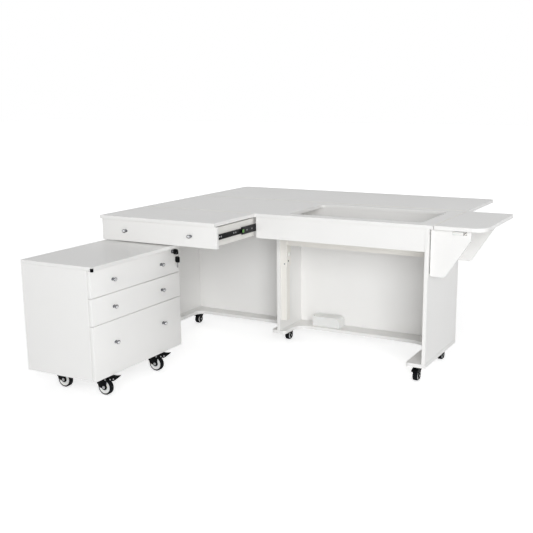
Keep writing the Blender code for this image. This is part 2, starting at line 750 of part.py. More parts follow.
def bracket_outline(inner):
    """A gusset seen from the front, with a notch in its top edge near the tip."""
    top = TOP_UNDER - BRACKET_DROP
    low = top - BRACKET_HEIGHT
    tip = inner + BRACKET_REACH
    notch = inner + NOTCH_START
    return rounded(
        [
            (inner, low, BRACKET_CORNER),
            (inner + BRACKET_FOOT, low, BRACKET_FOOT_CORNER),
            (tip, top - BRACKET_TIP, BRACKET_CORNER),
            (tip, top, 0),
            (notch + NOTCH_WIDTH, top, 0),
            (notch + NOTCH_WIDTH, top - NOTCH_DEPTH, 0),
            (notch, top - NOTCH_DEPTH, 0),
            (notch, top, 0),
            (inner, top, 0),
        ]
    )


def make_brackets(desk):
    """Two gussets on upright hinges, which swing flat against the right side panel."""
    axis = RIGHT_PANEL_OUT + GAP + HINGE_RADIUS
    inner = axis + SEAM_HALF
    top = TOP_UNDER - BRACKET_DROP
    hinge_low = top - BRACKET_HEIGHT + BRACKET_CORNER
    places = (("front", FRONT_BRACKET_SETBACK, 1), ("rear", CARCASS_BACK - REAR_BRACKET_MARGIN, -1))
    for name, pin, toward in places:
        swing = carrier(name + "_bracket_swing", (axis, pin, top), desk)
        sides = sorted((pin, pin - toward * BRACKET_THICK))
        bar(name + "_bracket", bracket_outline(inner), "Y", sides[0], sides[1], swing, WHITE_BOARD)
        section = [(axis + x, pin - toward * y) for x, y in hinge_section(BRACKET_HINGE_DEPTH)]
        bar(name + "_bracket_hinge", section, "Z", hinge_low, top, desk, BLACK_STEEL)


def make_caddy_carcass(caddy, box_lows):
    near_in = CADDY_NEAR + CADDY_BOARD
    far_in = CADDY_FAR - CADDY_BOARD
    side_top = CADDY_TOP_UNDER - GAP
    back_front = CADDY_INSET + CADDY_BOARD
    board(
        "caddy_top",
        (CADDY_INSET, CADDY_NEAR, CADDY_TOP_UNDER),
        (CADDY_FRONT + CADDY_TOP_OVERHANG, CADDY_FAR, CADDY_HEIGHT),
        caddy,
    )
    board(
        "caddy_back",
        (CADDY_INSET, near_in + GAP, CADDY_LOW),
        (back_front, far_in - GAP, side_top),
        caddy,
    )
    board(
        "caddy_bottom",
        (back_front + GAP, near_in + GAP, CADDY_LOW),
        (CADDY_CARCASS_FRONT, far_in - GAP, CADDY_LOW + CADDY_BOARD),
        caddy,
    )
    for name, outer, inner in (("near", CADDY_NEAR, near_in), ("far", CADDY_FAR, far_in)):
        low, high = sorted((outer, inner))
        side = board(
            "caddy_%s_side" % name,
            (CADDY_INSET, low, CADDY_LOW),
            (CADDY_CARCASS_FRONT, high, side_top),
            caddy,
        )
        strip = inner + math.copysign(RUNNER_WIDTH, inner - outer)
        low, high = sorted(((inner + outer) / 2, strip))
        for number, height in enumerate(box_lows[:2], 1):
            runner = box(
                "%s_runner_%d" % (name, number),
                (back_front + GAP, low, height - GAP - RUNNER_HEIGHT),
                (CADDY_CARCASS_FRONT - RUNNER_SETBACK, high, height - GAP),
                caddy,
            )
            combine(side, runner, "UNION")


def make_caddy_drawer(caddy, number, front, box_span, knob, knob_height):
    """A drawer box with its overlaid front and two knobs; front and box_span are heights, low to high."""
    name = "caddy_drawer_%d" % number
    middle = (CADDY_NEAR + CADDY_FAR) / 2
    drawer = carrier(name + "_slide", (CADDY_FRONT, middle, front[0]), caddy)
    near = CADDY_NEAR + CADDY_BOARD + CADDY_BOX_SIDE_GAP
    far = CADDY_FAR - CADDY_BOARD - CADDY_BOX_SIDE_GAP
    back = CADDY_INSET + CADDY_BOARD + CADDY_BOX_BACK_GAP
    shell = open_box(
        name,
        (back, near, box_span[0]),
        (CADDY_FRONT_BACK + GAP, far, box_span[1]),
        DRAWER_WALL,
        DRAWER_BOTTOM,
        drawer,
        WHITE_BOARD,
    )
    face = box(
        name + "_front",
        (CADDY_FRONT_BACK, CADDY_NEAR, front[0]),
        (CADDY_FRONT, CADDY_FAR, front[1]),
        drawer,
    )
    combine(shell, chamfered(face), "UNION")
    for side, y in (("near", CADDY_NEAR + KNOB_END), ("far", CADDY_FAR - KNOB_END)):
        tool = place(name + "_knob_" + side, knob, (CADDY_FRONT, y, knob_height), drawer, turn=ALONG_X)
        combine(shell, tool, "UNION")
    return drawer


def make_lock_key(drawer):
    """A key standing in its lock, on the front of the top drawer."""
    at = Vector((CADDY_FRONT + GAP, CADDY_FAR - LOCK_END, CADDY_TOP_UNDER - LOCK_DROP))
    key = carrier("lock", at, drawer)
    pieces = (
        ("lock_key", LOCK_PLUG_RADIUS, LOCK_PLUG_LENGTH, 0.0, 16),
        ("key_shaft", KEY_SHAFT_RADIUS, KEY_SHAFT_LENGTH, LOCK_PLUG_LENGTH - GAP, 8),
    )
    made = []
    for name, radius, length, start, sides in pieces:
        mesh = cylinder_mesh(name, radius, length, sides)
        material = BLACK_PLASTIC if not made else None
        centre = at + Vector((start + length / 2, 0, 0))
        made.append(place(name, mesh, centre, key, material, ALONG_X))
    head = cylinder_mesh("key_head", KEY_HEAD_RADIUS, KEY_HEAD_THICK, 16)
    reach = LOCK_PLUG_LENGTH - GAP + KEY_SHAFT_LENGTH + KEY_HEAD_RADIUS - KEY_HEAD_SINK
    disc = place("key_head", head, at + Vector((reach, 0, 0)), key, turn=ALONG_Y)
    combine(made[0], made[1], "UNION")
    combine(made[0], disc, "UNION")


def make_caddy(caddy):
    fronts = []
    top = CADDY_TOP_UNDER - FRONT_REVEAL
    for _ in range(2):
        fronts.append((top - SHALLOW_FRONT_HEIGHT, top))
        top -= SHALLOW_FRONT_HEIGHT + FRONT_REVEAL
    fronts.append((CADDY_LOW, top))
    box_lows = [low + CADDY_BOX_LIFT for low, _ in fronts[:2]]
    box_lows.append(CADDY_LOW + CADDY_BOARD + GAP)
    box_tops = [low + CADDY_BOX_HEIGHT for low in box_lows[:2]]
    box_tops.append(top - DEEP_BOX_DROP)
    knob_heights = [(low + high) / 2 for low, high in fronts[:2]]
    knob_heights.append(top - DEEP_KNOB_DROP)
    make_caddy_carcass(caddy, box_lows)
    knob = knob_mesh("caddy_knob", -KNOB_ROOT)
    for index, (front, floor, rim) in enumerate(zip(fronts, box_lows, box_tops, strict=True)):
        drawer = make_caddy_drawer(caddy, index + 1, front, (floor, rim), knob, knob_heights[index])
        if index == 0:
            make_lock_key(drawer)


def wheel_mesh(name, diameter, width):
    """A turned wheel with a bore, standing on one flat side."""
    tread = diameter / 2 / math.cos(math.pi / WHEEL_SIDES)
    shoulder = tread * TYRE_SHOULDER
    bore = AXLE_RADIUS + GAP
    half = width / 2
    crown = half * TYRE_CROWN
    profile = [
        (bore, half),
        (shoulder, half),
        (tread, crown),
        (tread, -crown),
        (shoulder, -half),
        (bore, -half),
    ]
    tilt = Matrix.Rotation(math.pi / WHEEL_SIDES, 3, "Z")
    shape = bmesh.new()
    points = [shape.verts.new(tilt @ Vector((r, 0, z))) for r, z in profile]
    for index, point in enumerate(points):
        shape.edges.new((points[index - 1], point))
    turned = place(name, mesh_of(name, shape), (0, 0, 0), carrier(name + "_axis", (0, 0, 0)))
    screw = turned.modifiers.new("turn", "SCREW")
    screw.steps = WHEEL_SIDES
    screw.render_steps = WHEEL_SIDES
    screw.use_merge_vertices = True
    screw.merge_threshold = 1e-5
    mesh = baked(turned, (turned.parent,))
    shade_round(mesh)
    return mesh


def cheek_outline(height, diameter, trail, head_radius):
    """A fork's side plate, as (along the trail, up) from the swivel axis at the floor."""
    top = height - GAP - HEAD_THICK
    boss = arc((trail, diameter / 2), CHEEK_BOSS, math.pi, 2 * math.pi, 6)
    back = -head_radius * HOOD_BACK_SHARE
    return [*boss, (trail + CHEEK_BOSS, top - HOOD_THICK), (head_radius, top), (back, top)]


def fork_mesh(name, height, diameter, width, trail, head_radius, hood_reach, pedal):
    """A swivel head, a hood over the wheel, two cheeks and the axle, trailing along its own +X."""
    root = carrier(name + "_build", (0, 0, 0))
    top = height - GAP
    head = cylinder_mesh(name, head_radius, HEAD_THICK, 16)
    fork = place(name, head, (0, 0, top - HEAD_THICK / 2), root)
    cheek_in = width / 2 + CHEEK_GAP
    cheek_out = cheek_in + CHEEK_THICK
    hood_top = top - HEAD_THICK + GAP
    tools = [
        box(
            name + "_hood",
            (-head_radius * HOOD_BACK_SHARE, -cheek_out, hood_top - HOOD_THICK),
            (hood_reach, cheek_out, hood_top),
            root,
        )
    ]
    outline = cheek_outline(height, diameter, trail, head_radius)
    for side in (-1, 1):
        low, high = sorted((side * cheek_in, side * cheek_out))
        tools.append(bar(name + "_cheek", outline, "Y", low, high, root, None))
    axle = cylinder_mesh(name + "_axle", AXLE_RADIUS, 2 * cheek_out, AXLE_SIDES)
    tools.append(place(name + "_axle", axle, (trail, 0, diameter / 2), root, turn=ALONG_Y))
    if pedal:
        pedal_top = top - PEDAL_DROP
        tools.append(
            box(
                name + "_arm",
                (0, -PEDAL_WIDTH / 2, hood_top - HOOD_THICK - PEDAL_THICK),
                (head_radius, PEDAL_WIDTH / 2, hood_top - HOOD_THICK + GAP),
                root,
            )
        )
        tools.append(
            box(
                name + "_pedal",
                (head_radius / 2, -PEDAL_WIDTH / 2, pedal_top - PEDAL_THICK),
                (PEDAL_REACH, PEDAL_WIDTH / 2, pedal_top),
                root,
            )
        )
    else:
        tools.append(
            box(
                name + "_lip",
                (hood_reach - HOOD_THICK, -cheek_out, hood_top - HOOD_LIP),
                (hood_reach, cheek_out, hood_top),
                root,
            )
        )
    for tool in tools:
        combine(fork, tool, "UNION")
    mesh = baked(fork, (*tools, root))
    shade_round(mesh)
    return mesh


def make_casters(
    places, carried_by, height, diameter, width, trail, head_radius, hood_reach, heading, pedal, label
):
    """A fork that swivels and a wheel that turns, at each place."""
    fork = fork_mesh(label + "_fork", height, diameter, width, trail, head_radius, hood_reach, pedal)
    wheel = wheel_mesh(label + "_wheel", diameter, width)
    ahead = Vector((math.cos(heading), math.sin(heading), 0))
    for name, x, y in places:
        swivel = carrier(name + "_swivel", (x, y, height), carried_by)
        place(name + "_fork", fork, (x, y, 0), swivel, BLACK_PLASTIC, Euler((0, 0, heading)))
        hub = Vector((x, y, diameter / 2)) + trail * ahead
        spin = carrier(name + "_axle", hub, swivel)
        place(name + "_wheel", wheel, hub, spin, RUBBER, Euler((math.pi / 2, 0, heading)))


def make_desk_casters(desk):
    right = RIGHT_PANEL_OUT - RIGHT_CASTER_INSET
    left = LEFT_PANEL_OUT + LEFT_CASTER_INSET
    places = (
        ("right_front_caster", right, RIGHT_PANEL_SETBACK + RIGHT_FRONT_CASTER),
        ("right_back_caster", right, CARCASS_BACK - RIGHT_BACK_CASTER),
        ("middle_caster", PARTITION_LEFT - MIDDLE_CASTER_OFFSET, CARCASS_BACK - MIDDLE_CASTER_BACK),
        ("left_front_caster", left, LEFT_PANEL_FRONT + LEFT_FRONT_CASTER),
        ("left_back_caster", left, CARCASS_BACK - LEFT_BACK_CASTER),
    )
    make_casters(
        places,
        desk,
        DESK_CASTER_HEIGHT,
        DESK_WHEEL_DIAMETER,
        DESK_WHEEL_WIDTH,
        DESK_CASTER_TRAIL,
        DESK_HEAD_RADIUS,
        DESK_CASTER_TRAIL + DESK_WHEEL_DIAMETER / 2 + DESK_HOOD_CLEARANCE,
        -math.pi / 2,
        False,
        "desk_caster",
    )


def make_caddy_casters(caddy):
    places = []
    for end, y in (("near", CADDY_NEAR + CADDY_CASTER_END), ("far", CADDY_FAR - CADDY_CASTER_END)):
        places.append(("caddy_%s_front_caster" % end, CADDY_FRONT - CADDY_CASTER_INSET, y))
        places.append(("caddy_%s_back_caster" % end, CADDY_INSET + CADDY_CASTER_INSET, y))
    make_casters(
        places,
        caddy,
        CADDY_CASTER_HEIGHT,
        CADDY_WHEEL_DIAMETER,
        CADDY_WHEEL_WIDTH,
        CADDY_CASTER_TRAIL,
        CADDY_HEAD_RADIUS,
        CADDY_HEAD_RADIUS,
        0.0,
        True,
        "caddy_caster",
    )


def main():
    desk = carrier("desk", (0, 0, 0))
    caddy = carrier("caddy", (CADDY_INSET, CADDY_NEAR, 0), desk)
    make_carcass(desk)
    make_base_plate(desk)
    make_worktop(desk)
    make_rear_leaf(desk)
    make_right_leaf(desk)
    make_return_leaf(desk)
    make_return_drawer(desk)
    make_lift(desk)
    make_control_box(desk)
    make_brackets(desk)
    make_caddy(caddy)
    make_desk_casters(desk)
    make_caddy_casters(caddy)
    desk.location = (-RIGHT_EDGE / 2, -(CADDY_NEAR + REAR_EDGE) / 2, 0)
    bpy.context.view_layer.update()


main()
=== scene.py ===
import json
import math

import bpy
from bpy.props import FloatProperty, FloatVectorProperty, IntProperty, PointerProperty
from mathutils import Matrix, Vector

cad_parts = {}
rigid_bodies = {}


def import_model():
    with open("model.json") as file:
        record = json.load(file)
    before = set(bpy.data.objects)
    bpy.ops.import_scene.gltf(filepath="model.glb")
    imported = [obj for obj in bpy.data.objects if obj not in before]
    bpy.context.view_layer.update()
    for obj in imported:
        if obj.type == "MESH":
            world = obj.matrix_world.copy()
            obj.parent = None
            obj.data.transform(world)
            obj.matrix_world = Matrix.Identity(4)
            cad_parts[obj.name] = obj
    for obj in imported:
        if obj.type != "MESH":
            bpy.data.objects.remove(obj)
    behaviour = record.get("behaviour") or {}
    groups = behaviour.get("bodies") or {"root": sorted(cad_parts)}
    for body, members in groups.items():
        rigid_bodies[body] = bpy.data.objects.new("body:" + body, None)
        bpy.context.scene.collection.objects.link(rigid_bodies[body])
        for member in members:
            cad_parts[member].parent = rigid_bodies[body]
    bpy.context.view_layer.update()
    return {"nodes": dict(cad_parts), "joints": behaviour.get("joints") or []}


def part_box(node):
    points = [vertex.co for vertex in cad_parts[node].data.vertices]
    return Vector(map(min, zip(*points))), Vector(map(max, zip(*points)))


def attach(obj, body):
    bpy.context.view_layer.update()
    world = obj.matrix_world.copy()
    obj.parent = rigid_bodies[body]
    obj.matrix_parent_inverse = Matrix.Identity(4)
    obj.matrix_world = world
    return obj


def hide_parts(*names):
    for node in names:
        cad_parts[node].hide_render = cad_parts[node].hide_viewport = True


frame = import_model()

bl_info = {
    "name": "Sewing cabinet dressing",
    "version": (1, 0, 0),
    "blender": (4, 5, 0),
    "location": "3D View > Sidebar > Cabinet",
    "description": "Fittings, casters, finishes and a studio for the packed sewing cabinet",
    "category": "Object",
}

# Side of the small plane that is merged to one point, and the distance at which turned points merge.
SEED = 0.0001
MERGE = 0.000002
# Edges that turn by less than this are shaded smooth, and sharper ones are rounded.
ROUND = math.radians(35)
# Room that keeps two touching faces out of one plane.
HAIR = 0.0002

JOINTS = {joint["name"]: joint for joint in frame["joints"]}
DRAWERS = ("caddy_drawer_1", "caddy_drawer_2", "caddy_drawer_3")
LOCKED_DRAWER = DRAWERS[0]
DEEP_DRAWER = DRAWERS[2]

# Columns that turn a piece modelled along +Z so that it looks that way.
UPRIGHT = ((1, 0, 0), (0, 1, 0), (0, 0, 1))
TO_FLOOR = ((1, 0, 0), (0, -1, 0), (0, 0, -1))
TO_FRONT = ((1, 0, 0), (0, 0, 1), (0, -1, 0))
TO_BACK = ((1, 0, 0), (0, 0, -1), (0, 1, 0))
SIDEWAYS = {1: ((0, 1, 0), (0, 0, 1), (1, 0, 0)), -1: ((0, -1, 0), (0, 0, 1), (-1, 0, 0))}
TO_RIGHT = SIDEWAYS[1]


def linear(code):
    """An sRGB hex colour as the linear values that a shader takes."""
    parts = [int(code[start:start + 2], 16) / 255 for start in (0, 2, 4)]
    return [part / 12.92 if part <= 0.04045 else ((part + 0.055) / 1.055) ** 2.4 for part in parts]


def length(name, about, default):
    return FloatProperty(name=name, description=about, default=default, min=0.0, unit="LENGTH", precision=4)


def share(name, about, default):
    return FloatProperty(name=name, description=about, default=default, min=0.0, max=1.0, subtype="FACTOR")


def angle(name, about, degrees):
    return FloatProperty(name=name, description=about, default=math.radians(degrees), subtype="ANGLE")


def watts(name, about, default):
    return FloatProperty(name=name, description=about, default=default, min=0.0, unit="POWER")


def tint(name, about, code):
    return FloatVectorProperty(
        name=name, description=about, default=linear(code), subtype="COLOR", size=3, min=0, max=1,
    )


class CabinetColours(bpy.types.PropertyGroup):
    """Colours of the finishes."""

    laminate: tint("Laminate", "White melamine of every board", "EEEDEB")
    foil: tint("Drawer foil", "Foil on the boards inside the drawers", "E6E4DF")
    powder: tint("Powder coat", "White paint on the machine lift", "EEEBE5")
    black_zinc: tint("Black zinc", "Passivated steel of the drawer slides", "17181A")
    nickel: tint("Nickel", "Plating of the screws and keys", "A9A9AA")
    # The satin chrome's grey is darkened as a painted reflection of dark surroundings, and the knobs' face
    # chrome is lighter as a painted highlight.
    chrome: tint("Satin chrome", "Plating of the knobs and the lock", "85868A")
    highlight_chrome: tint("Bright chrome", "Plating of the knobs' faces", "E4E5E7")
    black_nylon: tint("Black nylon", "Caster forks, pedals and key heads", "0C0D0E")
    tyre: tint("Tyre", "Polyurethane tread of the wheels", "131416")
    white_nylon: tint("White nylon", "Wheel rings, catches and guides", "E9E9E7")
    release_tab: tint("Release tab", "Acetal tab at the end of the slide", "5C9A45")
    floor: tint("Floor", "Studio floor", "EFEFEF")


class CasterSizes(bpy.types.PropertyGroup):
    """Sizes shared by the nine casters."""

    desk_plate: length("Desk plate", "Side of the mounting plate under the desk", 0.046)
    caddy_plate: length("Caddy plate", "Side of the mounting plate under the caddy", 0.064)
    plate_thick: length("Plate thickness", "Pressed steel plate against the board", 0.0022)
    plate_corner: length("Plate corner", "Radius of the plate's corners", 0.006)
    race: share("Race", "Radius of the ball race over the plate's side", 0.40)
    race_height: length("Race height", "Height of the ball race under the plate", 0.0075)
    cheek_thick: length("Cheek thickness", "Moulded side of the fork", 0.003)
    cheek_gap: length("Cheek gap", "Room between wheel and cheek", 0.0006)
    hood_gap: length("Hood gap", "Room between tread and hood", 0.0025)
    lip_gap: length("Lip gap", "From the wheel's front forward to the hood's lip", 0.005)
    tyre_round: length("Tyre rounding", "Radius of the tyre's shoulders", 0.0045)
    ring_out: share("Ring outside", "Outer radius of the white ring over the wheel's", 0.81)
    ring_in: share("Ring inside", "Inner radius of the white ring over the wheel's", 0.36)
    screw_radius: length("Screw head", "Radius of a plate screw's head", 0.0035)
    screw_height: length("Screw height", "Height of a plate screw's head", 0.0018)
    bolt: share("Axle bolt", "Radius of an axle's end over the wheel's", 0.21)
    pedal_reach: length("Pedal reach", "From the swivel axis to the pedal's tip", 0.105)
    pedal_width: length("Pedal width", "Across the brake pedal", 0.019)
    pedal_drop: length("Pedal drop", "From the board down to the pedal", 0.004)


class FittingSizes(bpy.types.PropertyGroup):
    """Sizes of knobs, drawers, hinges, keys and slides."""

    knob_width: length("Knob width", "Long side of an oval knob", 0.025)
    knob_tall: length("Knob height", "Short side of an oval knob", 0.017)
    knob_end: length("Knob from end", "From a drawer front's end to its knob", 0.150)
    deep_knob_drop: length("Deep knob drop", "From the deep drawer's top edge to its knobs", 0.1025)
    front_thick: length("Front thickness", "Board of a drawer front", 0.018)
    wall: length("Drawer wall", "Board of a drawer box", 0.012)
    floor_thick: length("Drawer floor", "Panel under a drawer box", 0.006)
    box_side: length("Box inset", "From a front's end to the drawer box", 0.0168)
    box_lift: length("Box lift", "From a shallow front's low edge to its box", 0.008)
    box_height: length("Box height", "Height of a shallow drawer box", 0.100)
    deep_lift: length("Deep box lift", "From the deep front's low edge to its box", 0.0163)
    deep_drop: length("Deep box drop", "From the deep front's top edge to its box", 0.0302)
    edge: length("Edge rounding", "Radius of a banded board edge", 0.0012)
    knuckle: length("Knuckle", "Length of one knuckle of a strip hinge", 0.030)
    knuckle_gap: length("Knuckle gap", "Line between two knuckles", 0.0008)
    hinge_radius: length("Hinge barrel", "Radius of a strip hinge's barrel", 0.0012)
    hinge_plate: length("Hinge plate", "Thickness of a hinge leaf", 0.0008)
    leaf_depth: length("Leaf hinge depth", "Depth of a worktop hinge's leaf", 0.014)
    bracket_depth: length("Bracket hinge depth", "Depth of a bracket hinge's leaf", 0.0165)
    key_bow: length("Key bow", "Across the moulded head of a key", 0.029)
    key_thick: length("Key bow thickness", "Through the moulded head of a key", 0.006)
    key_hole: length("Key hole", "From the end of a key's head to the middle of its hole", 0.0055)
    key_ring: length("Key ring", "Radius of the ring that carries the spare key", 0.0125)
    key_wire: length("Key ring wire", "Radius of the ring's wire", 0.0008)
    key_stand: length("Key stand", "From the lock to the key's head", 0.0067)
    key_blade: length("Key blade", "Length of the spare key's blade", 0.026)
    steps: IntProperty(name="Turning steps", description="Facets round a turned piece", default=40, min=12)


class StudioSizes(bpy.types.PropertyGroup):
    """Camera and lamps."""

    camera_place: FloatVectorProperty(
        name="Camera place", description="Where the camera stands", subtype="TRANSLATION",
        unit="LENGTH", default=(1.9022, -3.7843, 1.3639),
    )
    camera_yaw: angle("Camera yaw", "Turn to the left of the back", 28.25)
    camera_pitch: angle("Camera pitch", "Tilt below level", 12.5)
    camera_roll: angle("Camera roll", "Turn about the line of sight", 0.4)
    camera_lens: FloatProperty(name="Lens", description="Focal length in mm for a 36 mm frame", default=57.36)
    camera_shift: FloatVectorProperty(
        name="Lens shift", description="Offset of the frame, in frame widths",
        size=2, default=(-0.0289, 0.0259),
    )
    key_power: watts("Key lamp", "Large soft lamp by the camera", 416.0)
    top_power: watts("Top lamp", "Soft lamp overhead", 24.0)
    side_power: watts("Side lamp", "Narrow lamp at the right", 0.45)
    fill: FloatProperty(name="Fill", description="Even light from all round", default=0.265, min=0.0)
    glow: share("Floor glow", "White added to the floor as the lens sees it", 0.59)
    floor_size: length("Floor size", "Side of the studio floor", 60.0)


def add(tree, kind, inputs=None, **settings):
    """One node: settings go on the node, inputs on its sockets as values or as other nodes' outputs."""
    made = tree.nodes.new(kind)
    for key, value in settings.items():
        setattr(made, key, value)
    for socket, value in (inputs or {}).items():
        if isinstance(value, bpy.types.NodeSocket):
            tree.links.new(value, made.inputs[socket])
        else:
            made.inputs[socket].default_value = value
    return made


def finish(name, build):
    """The finish of that name, built on its first use."""
    found = bpy.data.materials.get(name)
    if found:
        return found
    made = bpy.data.materials.new(name)
    made.use_nodes = True
    build(made.node_tree, made.node_tree.nodes["Principled BSDF"])
    return made


def shades(colour, low, high):
    """A darker and a lighter shade of one colour."""
    return [(*(min(1.0, part * level) for part in colour), 1.0) for level in (low, high)]


def pattern(tree, shader, colour, tone_mm, grit_mm, rough, depth, tone, stretch=(1, 1, 1)):
    """Colour that drifts over tone_mm, gloss that drifts with it, and a relief of grit_mm grain."""
    place = add(tree, "ShaderNodeTexCoord").outputs["Object"]
    place = add(tree, "ShaderNodeMapping", {"Vector": place, "Scale": stretch}).outputs["Vector"]
    drift = add(tree, "ShaderNodeTexNoise", {"Vector": place, "Scale": 1000 / tone_mm, "Detail": 3.0})
    grit = add(tree, "ShaderNodeTexNoise", {"Vector": place, "Scale": 1000 / grit_mm, "Detail": 2.0})
    dark, light = shades(colour, *tone)
    # In a colour mix, sockets 6 and 7 take the colours and output 2 gives the result.
    mixed = add(tree, "ShaderNodeMix", {0: drift.outputs["Fac"], 6: dark, 7: light}, data_type="RGBA")
    tree.links.new(mixed.outputs[2], shader.inputs["Base Color"])
    gloss = add(
        tree, "ShaderNodeMapRange",
        {
            "Value": drift.outputs["Fac"], "From Min": 0.15, "From Max": 0.85,
            "To Min": rough[0], "To Max": rough[1],
        },
    )
    tree.links.new(gloss.outputs["Result"], shader.inputs["Roughness"])
    relief = add(tree, "ShaderNodeBump", {"Height": grit.outputs["Fac"], "Strength": 1.0, "Distance": depth})
    tree.links.new(relief.outputs["Normal"], shader.inputs["Normal"])


def seen(tree):
    """1 for the lens and for what mirrors and glass show, 0 for the rays that light the object."""
    path = add(tree, "ShaderNodeLightPath").outputs
    rays = path["Is Camera Ray"]
    for other in ("Is Glossy Ray", "Is Transmission Ray"):
        rays = add(tree, "ShaderNodeMath", {0: rays, 1: path[other]}, operation="MAXIMUM").outputs[0]
    return rays


def colours():
    return bpy.context.scene.cabinet_colours


def melamine(tree, shader):
    """Pressed melamine paper on particle board: satin, with a pearl relief that softens each reflection.

    The real pearl is about 0.5 mm; it is drawn at 4 mm so that it shows.
    """
    pattern(tree, shader, colours().laminate, 420, 4, (0.27, 0.36), 0.00003, (0.985, 1.01))
    shader.inputs["IOR"].default_value = 1.5


def drawer_foil(tree, shader):
    """Printed foil on thin board: duller than melamine, with faint streaks along the board."""
    pattern(tree, shader, colours().foil, 90, 5, (0.42, 0.55), 0.00005, (0.95, 1.02), (0.15, 1, 1))
    shader.inputs["IOR"].default_value = 1.48


def powder_coat(tree, shader):
    """Baked powder on steel: an orange-peel skin of about 2 mm, drawn at 5 mm to show."""
    pattern(tree, shader, colours().powder, 160, 5, (0.34, 0.44), 0.00008, (0.98, 1.01))
    shader.inputs["IOR"].default_value = 1.5


def black_zinc(tree, shader):
    """Black passivated steel: a dim metal with rolling streaks along the slide."""
    pattern(tree, shader, colours().black_zinc, 14, 1.5, (0.30, 0.48), 0.00002, (0.75, 1.5), (1, 0.06, 1))
    shader.inputs["Metallic"].default_value = 0.75


def nickel(tree, shader):
    """Nickel on rolled steel: grey, with fine brush lines that stretch the highlights."""
    pattern(tree, shader, colours().nickel, 9, 0.8, (0.24, 0.40), 0.00001, (0.85, 1.08), (0.08, 0.08, 1))
    shader.inputs["Metallic"].default_value = 1.0


def darkened_satin_chrome(tree, shader):
    """Satin chrome plate, clouded from handling; its grey is far darker than real chrome, a painted
    reflection of dark surroundings.
    """
    pattern(tree, shader, colours().chrome, 9, 3, (0.14, 0.30), 0.000006, (0.72, 1.15))
    shader.inputs["Metallic"].default_value = 1.0


def polished_highlight_chrome(tree, shader):
    """Buffed chrome plate on the face of a knob: a clear mirror, its colour lighter than the grip's chrome as
    a painted highlight.
    """
    pattern(tree, shader, colours().highlight_chrome, 12, 2, (0.05, 0.12), 0.000004, (0.94, 1.03))
    shader.inputs["Metallic"].default_value = 1.0


def black_nylon(tree, shader):
    """Glass-filled nylon, moulded in a spark-eroded tool: a dull fine grain, drawn at 0.9 mm.

    Its IOR, like the tread's, is far below the real 1.5 because the photograph's blacks show almost no sheen.
    """
    pattern(tree, shader, colours().black_nylon, 25, 0.9, (0.38, 0.52), 0.00004, (0.8, 1.5))
    shader.inputs["IOR"].default_value = 1.12


def polyurethane(tree, shader):
    """Polyurethane tread: black, softly worn to grey where it rolls."""
    pattern(tree, shader, colours().tyre, 18, 1.2, (0.55, 0.70), 0.00003, (0.8, 1.6))
    shader.inputs["IOR"].default_value = 1.12


def white_nylon(tree, shader):
    """Moulded natural nylon: milky, with a soft gloss and a trace of light in its edges."""
    pattern(tree, shader, colours().white_nylon, 30, 1.5, (0.30, 0.42), 0.00002, (0.96, 1.02))
    shader.inputs["IOR"].default_value = 1.53
    shader.inputs["Subsurface Weight"].default_value = 0.05
    shader.inputs["Subsurface Scale"].default_value = 0.001


def release_acetal(tree, shader):
    """Moulded acetal: an even, slightly waxy green."""
    pattern(tree, shader, colours().release_tab, 12, 1.0, (0.32, 0.42), 0.00002, (0.9, 1.08))
    shader.inputs["IOR"].default_value = 1.48


FINISH_OF_SLOT = {
    "white_laminate": melamine,
    "drawer_board": drawer_foil,
    "white_plastic": white_nylon,
    "black_steel": black_zinc,
    "white_enamel": powder_coat,
    "chrome": darkened_satin_chrome,
    "black_plastic": black_nylon,
    "tyre": polyurethane,
}


def begin():
    """Object mode, with nothing selected."""
    if bpy.context.mode != "OBJECT":
        bpy.ops.object.mode_set(mode="OBJECT")
    bpy.ops.object.select_all(action="DESELECT")


def pick(*pieces):
    """Selects these pieces alone, the first one active."""
    begin()
    for piece in pieces:
        piece.select_set(True)
    bpy.context.view_layer.objects.active = pieces[0]


def placed(name):
    """Names the active object and puts its place, turn and scale into its mesh."""
    piece = bpy.context.object
    piece.name = name
    piece.data.name = name
    bpy.ops.object.transform_apply(location=True, rotation=True, scale=True)
    return piece


def posed(piece, at, columns=UPRIGHT):
    """Moves a piece that was modelled round the origin, its axes turned to the given columns."""
    pick(piece)
    piece.matrix_world = Matrix.Translation(at) @ Matrix(columns).transposed().to_4x4()
    return placed(piece.name)


def copied(piece, name, at, columns):
    """A twin of a piece with its own mesh, in another place."""
    pick(piece)
    bpy.ops.object.duplicate(linked=False)
    twin = bpy.context.object
    twin.name = name
    return posed(twin, at, columns)


def joined(name, *pieces):
    """One piece made of several."""
    pick(*pieces)
    bpy.ops.object.join()
    return placed(name)


def repeated(name, model, spots, columns):
    """Copies of a model at several spots, joined to one piece."""
    return joined(name, *[copied(model, name, spot, columns) for spot in spots])


def gone(*pieces):
    """Removes models that were only there to be copied."""
    pick(*pieces)
    bpy.ops.object.delete()


def chamfer(piece, width, segments=2):
    """Rounds the sharp edges of a piece."""
    pick(piece)
    bpy.ops.object.modifier_add(type="BEVEL")
    bevel = piece.modifiers[-1]
    bevel.width = width
    bevel.segments = segments
    bevel.limit_method = "ANGLE"
    bevel.angle_limit = ROUND
    bpy.ops.object.modifier_apply(modifier=bevel.name)
    bpy.ops.object.shade_smooth_by_angle(angle=ROUND)
    return piece


def hollowed(piece, tool):
    """Cuts a tool's shape out of a piece and removes the tool."""
    pick(piece)
    bpy.ops.object.modifier_add(type="BOOLEAN")
    recess = piece.modifiers[-1]
    recess.operation = "DIFFERENCE"
    recess.object = tool
    bpy.ops.object.modifier_apply(modifier=recess.name)
    gone(tool)
    pick(piece)
    return piece


def stretched(piece, chosen, scale, centre):
    """Scales the points of a piece that pass a test, about a centre."""
    pick(piece)
    for point in piece.data.vertices:
        point.select = chosen(point.co)
    bpy.ops.object.mode_set(mode="EDIT")
    bpy.ops.transform.resize(value=scale, center_override=centre)
    bpy.ops.object.mode_set(mode="OBJECT")
    return piece


